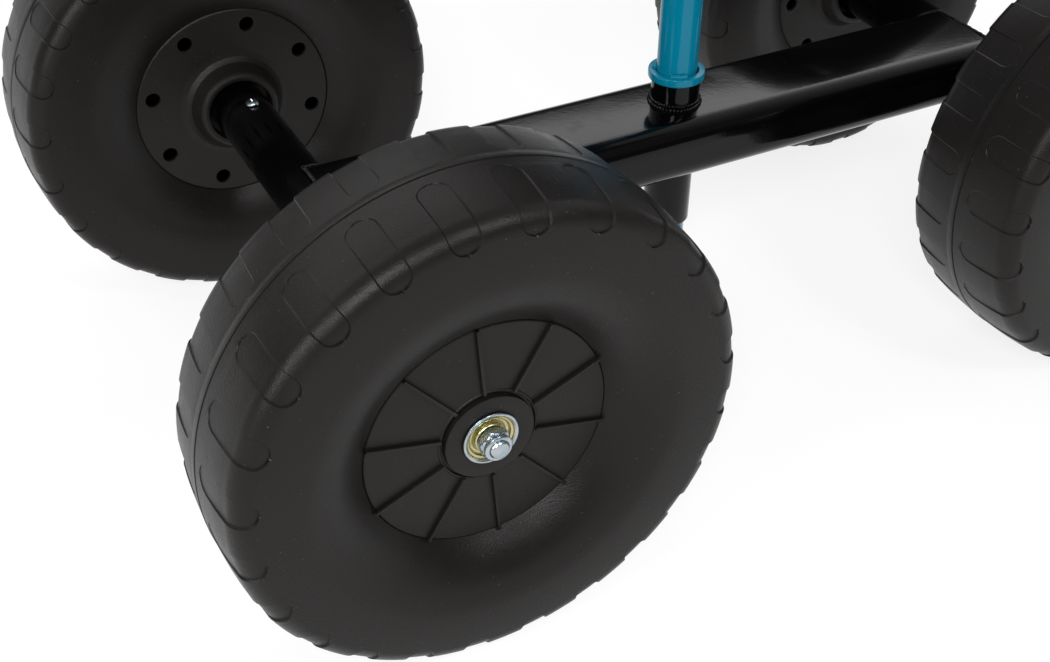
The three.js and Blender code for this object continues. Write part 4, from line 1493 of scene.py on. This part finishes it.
# ---- drum and handle ----------------------------------------------------------------------------
@dataclass
class Drum:
    """The hose drum with its windowed flanges, and the crank that turns it."""

    axle: float = 550.0
    radius: float = 165.0
    half_width: float = 112.0
    flange: float = 8.0
    core: float = 60.0
    core_ribs: int = 24
    windows: int = 6
    window_half: float = 18.9
    window_margin: float = 20.0
    axle_radius: float = 10.0
    axle_right: float = -186.0
    axle_left: float = 176.0
    crank_inner: float = 172.0
    crank_thickness: float = 6.0
    throw: float = 130.0
    grip_end: float = 266.0
    outlet_inset: float = 70.0

    def _window(self, grow: float = 0.0) -> list[Point]:
        """One window's outline, about the +X direction.

        Args:
            grow: how much smaller it is all round.

        Returns:
            The outline.
        """
        low, high = self.core + self.window_margin + grow, self.radius - self.window_margin - grow
        half = self.window_half - math.degrees(grow / 110.0)
        return softened(arc((0, 0), high, -half, half, 14) + arc((0, 0), low, half, -half, 10), 9.0, 4)

    def _flange(self, jigs: Jigs) -> Form:
        """The left flange at the origin: a disc with a rolled rim, windows, lips, ribs and hub screws."""
        inner, outer = self.half_width - self.flange, self.half_width
        web, rim, core = outer - 3.0, self.radius, self.core
        roll = [(rim - 9, web), (rim - 9, inner), (rim - 6, inner), (rim - 5, web - 1.5), (rim - 1, web - 1.5),
                (rim, web), (rim, outer - 1), (rim - 1, outer)]
        hub = [(core - 8, outer - 0.6), (core - 14, outer - 3.0), (26.0, outer - 3.0), (23.0, outer - 0.2),
               (10.3, outer - 0.2)]
        profile = [(10.3, inner), (core + 8, inner), (core + 8, web), *roll, *hub]

        def ring(form: Form, start: float) -> Form:
            """One form at each window's place, from that angle on."""
            return jigs.around.of(form, Finish.DRUM, Count=self.windows, Start=start)
        top = math.pi / 2
        windows = ring(Form.plate(self._window(), inner - 2, outer + 2), top)
        disc = Form.turned(profile, 0.8, 2, 144).cut(windows)
        lip = Form.tube([(x, web - 1.0, z) for x, z in self._window(-1.2)], 2.3, segments=10, loop=True)
        rib = Form.bar(rim - core - 22, 4.5, 2.4, edge=0.7).moved(x=(rim + core + 2) / 2, y=web - 1.4)
        head = [(0.0, outer - 4.0), (4.2, outer - 4.0), (4.2, outer - 1.4), (3.2, outer - 0.5),
                (0.0, outer - 0.3)]
        screw = Form.turned(head, 0.4, 2, 20).moved(x=36.0)
        return disc + ring(lip, top) + ring(rib, top + math.pi / self.windows) + ring(screw, 0.2)

    def _barrel(self, jigs: Jigs) -> Form:
        """The barrel that the hose winds on, with long shallow ribs."""
        end = self.half_width - self.flange - 0.3
        barrel = Form.turned(sleeve(self.core - 3, self.core - 0.6, -end, end), 0.4, 2, 96)
        rib = Form.bar(1.4, 2 * end - 2, 3.0, edge=0.5).moved(x=self.core - 0.75)
        return barrel + jigs.around.of(rib, Finish.DRUM, Count=self.core_ribs)

    def _axle(self) -> Form:
        """The hollow axle, with the groove for its retaining ring."""
        axle = Form.turned(sleeve(7.0, self.axle_radius, self.axle_right, self.axle_left), 0.7, 3, 56)
        return axle.cut(Form.lathe(sleeve(9.2, 12.0, -182.4, -180.9), 56))

    def _outlet(self) -> Form:
        """The barbed outlet for the hose, with its hexagon."""
        seat = [(4.0, 0.0), (11.0, 0.0), (11.0, 4.2), (11.0, 5.5), (6.4, 6.5), (6.4, 9.0)]
        barbs = [(8.0, 12.5), (6.6, 13.0), (8.0, 18.0), (6.6, 18.5), (8.0, 23.5), (6.6, 24.0)]
        profile = [*seat, *barbs, (6.2, 29.5), (5.6, 30.0), (4.0, 30.0)]
        foot = hexagon(19.0, 4.4)

        def shape(angle: float, radius: float, y: float) -> float:
            """A hexagon at the foot, round above it."""
            return foot(angle, radius, y) if y < 6 else radius
        outlet = Form.turned(profile, 0.3, 2, 48, shape).moved(y=self.core + 0.3)
        return outlet.hanging().moved(y=-self.outlet_inset)

    def _crank(self) -> Form:
        """The flat crank arm, with its eyes for the axle and the grip's bolt."""
        low, face = self.axle - self.throw, -self.crank_inner
        arm = Form.plate(link(0.0, self.axle, 16.5, 0.0, low, 12.5), face - self.crank_thickness, face)
        holes = [Form.lathe(sleeve(0.0, size, face - 20, face + 20), 48).moved(z=z)
                 for size, z in ((self.axle_radius + 0.2, self.axle), (4.2, low))]
        return arm.bevelled(0.9, 3).cut(*holes)

    def _grip(self) -> Form:
        """The loose crank grip: swollen, with finger flutes."""
        end = self.grip_end
        collar = [(4.3, 182.0), (12.6, 182.0), (13.2, 184.0), (12.4, 188.0), (11.2, 193.0)]
        swell = [(11.6, 203.0), (13.0, 215.0), (13.8, 226.0), (13.4, 238.0), (12.0, 250.0), (11.3, 256.0)]
        profile = [*collar, *swell, (12.2, 261.0), (13.0, end - 1.5), (12.2, end), (4.3, end)]

        def flutes(angle: float, radius: float, y: float) -> float:
            """Eight shallow flutes along the middle."""
            fade = min(1.0, max(0.0, (min(y - 194.0, 255.0 - y)) / 8.0))
            return radius - 0.55 * fade * (0.5 + 0.5 * math.cos(8 * angle)) if radius > 6 else radius
        return Form.turned(profile, 1.2, 3, 96, flutes).facing(-1)

    def build(self, jigs: Jigs) -> None:
        """Makes the drum's pieces."""
        flange, body, low = self._flange(jigs), "drum", self.axle - self.throw
        for name, side in (("right", -1), ("left", 1)):
            placed = flange.facing(side).moved(z=self.axle)
            placed.piece(f"{name}_windowed_flange", Finish.DRUM, body, f"{name}_drum_flange")
        self._barrel(jigs).moved(z=self.axle).piece("hose_barrel", Finish.DRUM, body, "drum_core")
        self._axle().moved(z=self.axle).piece("hollow_axle", Finish.ZINC, body, "drum_axle")
        self._outlet().moved(z=self.axle).piece("barbed_outlet", Finish.BRASS, body, "hose_outlet")
        self._crank().piece("crank_lever", Finish.TURQUOISE_COAT, body, "crank_arm")
        grip_bolt = bolt(self.crank_inner - 0.3, self.grip_end + 0.3).facing(-1).moved(z=low)
        grip_bolt.piece("grip_bolt", Finish.ZINC, body, "crank_bolt")
        self._grip().moved(z=low).piece("fluted_grip", Finish.DRUM, "crank_knob", "crank_grip")


@dataclass
class PullHandle:
    """The folding pull handle: a bent tube with a foam grip."""

    pivot: Point = (52.0, 442.0)
    radius: float = 11.0
    bore: float = 9.4
    half_span: float = 150.0
    below: float = 16.0
    length: float = 545.0
    bend: float = 60.0
    lean: float = 4.0
    foam_radius: float = 16.0
    foam_half: float = 85.0

    def _leaning(self, form: Form) -> Form:
        """A form in the handle's own frame, leaned back and put on its pivot."""
        return form.rolled(self.lean).moved(x=self.pivot[0], z=self.pivot[1])

    def _bar(self) -> Form:
        """The bent tube, with the holes for its pivot bolts."""
        half, low, high = self.half_span, -self.below, self.length
        corners = [(0, -half, low), (0, -half, high), (0, half, high), (0, half, low)]
        hole = Form.lathe(sleeve(0.0, 4.3, -half - 30, half + 30), 32)
        return Form.tube(bent(corners, self.bend), self.radius, self.bore, 56).cut(hole)

    def _foam(self) -> Form:
        """The foam grip, a little slack at its middle."""
        r, h, bore = self.foam_radius, self.foam_half, self.radius + 0.2
        half = [(r - 0.3, h / 2), (r, h - 4.0), (r - 0.7, h - 1.0), (r - 2.2, h), (bore, h)]
        profile = [*((x, -y) for x, y in reversed(half)), (r - 0.5, 0.0), *half]
        return Form.turned(profile, 2.0, 4, 64).moved(z=self.length)

    def build(self) -> None:
        """Makes the handle's pieces."""
        self._leaning(self._bar()).piece("bent_pull_bar", Finish.TURQUOISE_COAT, "handle", "pull_handle")
        self._leaning(self._foam()).piece("foam_sleeve", Finish.GRIP_FOAM, "handle", "handle_grip")


# ---- studio -------------------------------------------------------------------------------------
@dataclass
class Softbox:
    """A rectangular studio light, in metres and watts."""

    name: str
    place: tuple[float, float, float]
    aim: tuple[float, float, float]
    width: float
    height: float
    watts: float

    def build(self) -> None:
        """Hangs the light."""
        lamp = bpy.data.lights.new(self.name, "AREA")
        lamp.shape, lamp.size, lamp.size_y, lamp.energy = "RECTANGLE", self.width, self.height, self.watts
        holder = bpy.data.objects.new(self.name, lamp)
        holder.location = self.place
        aim = Vector(self.aim) - Vector(self.place)
        holder.rotation_euler = aim.to_track_quat("-Z", "Y").to_euler()
        bpy.context.scene.collection.objects.link(holder)


@dataclass
class Studio:
    """The camera, the pale floor and the soft lights, in metres and degrees."""

    eye: tuple[float, float, float] = (-0.5612, -0.8123, 0.7109)
    yaw: float = 28.3053
    pitch: float = 37.2734
    roll: float = 0.8044
    lens: float = 50.54
    sensor: float = 36.0
    floor_reach: float = 80.0
    floor_glow: float = 0.84
    wall_light: float = 0.08
    horizon_light: float = 0.87
    ceiling_light: float = 0.1
    band_light: float = 2.25

    def _camera(self) -> None:
        """Stands the camera at the viewing angle."""
        pitch, yaw, roll = (math.radians(a) for a in (self.pitch, self.yaw, self.roll))
        forward = Vector((math.sin(yaw) * math.cos(pitch), math.cos(yaw) * math.cos(pitch), -math.sin(pitch)))
        level = Vector((math.cos(yaw), -math.sin(yaw), 0.0))
        up = level.cross(forward)
        across = level * math.cos(roll) + up * math.sin(roll)
        upright = up * math.cos(roll) - level * math.sin(roll)
        data = bpy.data.cameras.new("camera")
        data.lens, data.sensor_width, data.clip_start = self.lens, self.sensor, 0.01
        camera = bpy.data.objects.new("camera", data)
        turn = Matrix((across, upright, -forward)).transposed().to_4x4()
        camera.matrix_world = Matrix.Translation(Vector(self.eye)) @ turn
        bpy.context.scene.collection.objects.link(camera)
        bpy.context.scene.camera = camera

    def _floor(self) -> None:
        """Lays the pale floor, which glows a little so that it stays white under soft shadows."""
        made = bpy.data.meshes.new("floor")
        reach = self.floor_reach
        corners = [(-reach, -reach, 0), (reach, -reach, 0), (reach, reach, 0), (-reach, reach, 0)]
        made.from_pydata(corners, [], [(0, 1, 2, 3)])
        g = SurfaceGraph("pale_floor")
        colour = g.mix(g.noise(3.0, 3.0), (0.17, 0.17, 0.17), (0.2, 0.2, 0.2))
        made.materials.append(g.surface(Base_Color=colour, Roughness=0.9, Specular_IOR_Level=0.05,
                                        Emission_Color=(1.0, 1.0, 1.0), Emission_Strength=self.floor_glow))
        floor = bpy.data.objects.new("floor", made)
        bpy.context.scene.collection.objects.link(floor)

    def _air(self) -> None:
        """Fills the studio with soft light: a pale ceiling, brightest behind the cart, over darker walls."""
        world = bpy.data.worlds.new("studio")
        world.use_nodes = True
        world.node_tree.nodes.clear()
        g = Graph(world.node_tree)
        x, y, z = g.axes(g.node("ShaderNodeTexCoord", output="Generated"))
        horizon, ceiling = 1.0 - z.over(0.02, 0.12), z.over(0.452, 0.472)
        behind = (y * 0.9 + x * 0.3).over(-0.3, 0.4)
        band = behind * (1.0 - z.over(0.5, 0.85) * 0.75)
        above = ceiling * (self.ceiling_light + band * self.band_light)
        strength = self.wall_light + horizon * self.horizon_light + above
        light = g.node("ShaderNodeBackground", {}, {"Color": (1.0, 1.0, 1.0, 1.0), "Strength": strength})
        g.node("ShaderNodeOutputWorld", {}, {"Surface": light})
        bpy.context.scene.world = world

    def build(self) -> None:
        """Sets the studio up."""
        self._camera()
        self._floor()
        self._air()
        for box in (
            Softbox("key_light", (-0.99, -1.44, 1.45), (-0.26, -0.2, 0.16), 0.42, 0.42, 20.0),
            Softbox("left_light", (-1.6, -0.75, 0.85), (-0.28, -0.2, 0.16), 0.35, 0.5, 9.5),
            Softbox("front_light", (0.25, -1.5, 1.7), (0.0, 0.0, 0.2), 0.4, 0.4, 12.0),
        ):
            box.build()
        bpy.context.scene.view_settings.view_transform = "Standard"
        LOG.info("studio ready")


def main() -> None:
    """Builds the cart around its frame, piece by piece."""
    logging.basicConfig(level=logging.INFO, format="%(name)s: %(message)s")
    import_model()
    Studio().build()
    jigs, chassis = Jigs(), Chassis()
    chassis.build(jigs)
    half, rear, front = chassis.wheelbase / 2, chassis.rear_track / 2, chassis.front_track / 2
    for wheel in (
        Wheel("rear_right", -half, -rear, tread_turn=7.0, hub_turn=13.0, inner_turn=20.0),
        Wheel("rear_left", -half, rear, tread_turn=4.0, hub_turn=5.0, inner_turn=30.3),
        Wheel("front_right", half, -front, tread_turn=3.0, hub_turn=20.0, inner_turn=8.0),
        Wheel("front_left", half, front, tread_turn=11.0, hub_turn=28.0, inner_turn=5.0),
    ):
        wheel.build(jigs)
    Turret().build(jigs)
    Drum().build(jigs)
    PullHandle().build()


if __name__ == "__main__":
    main()
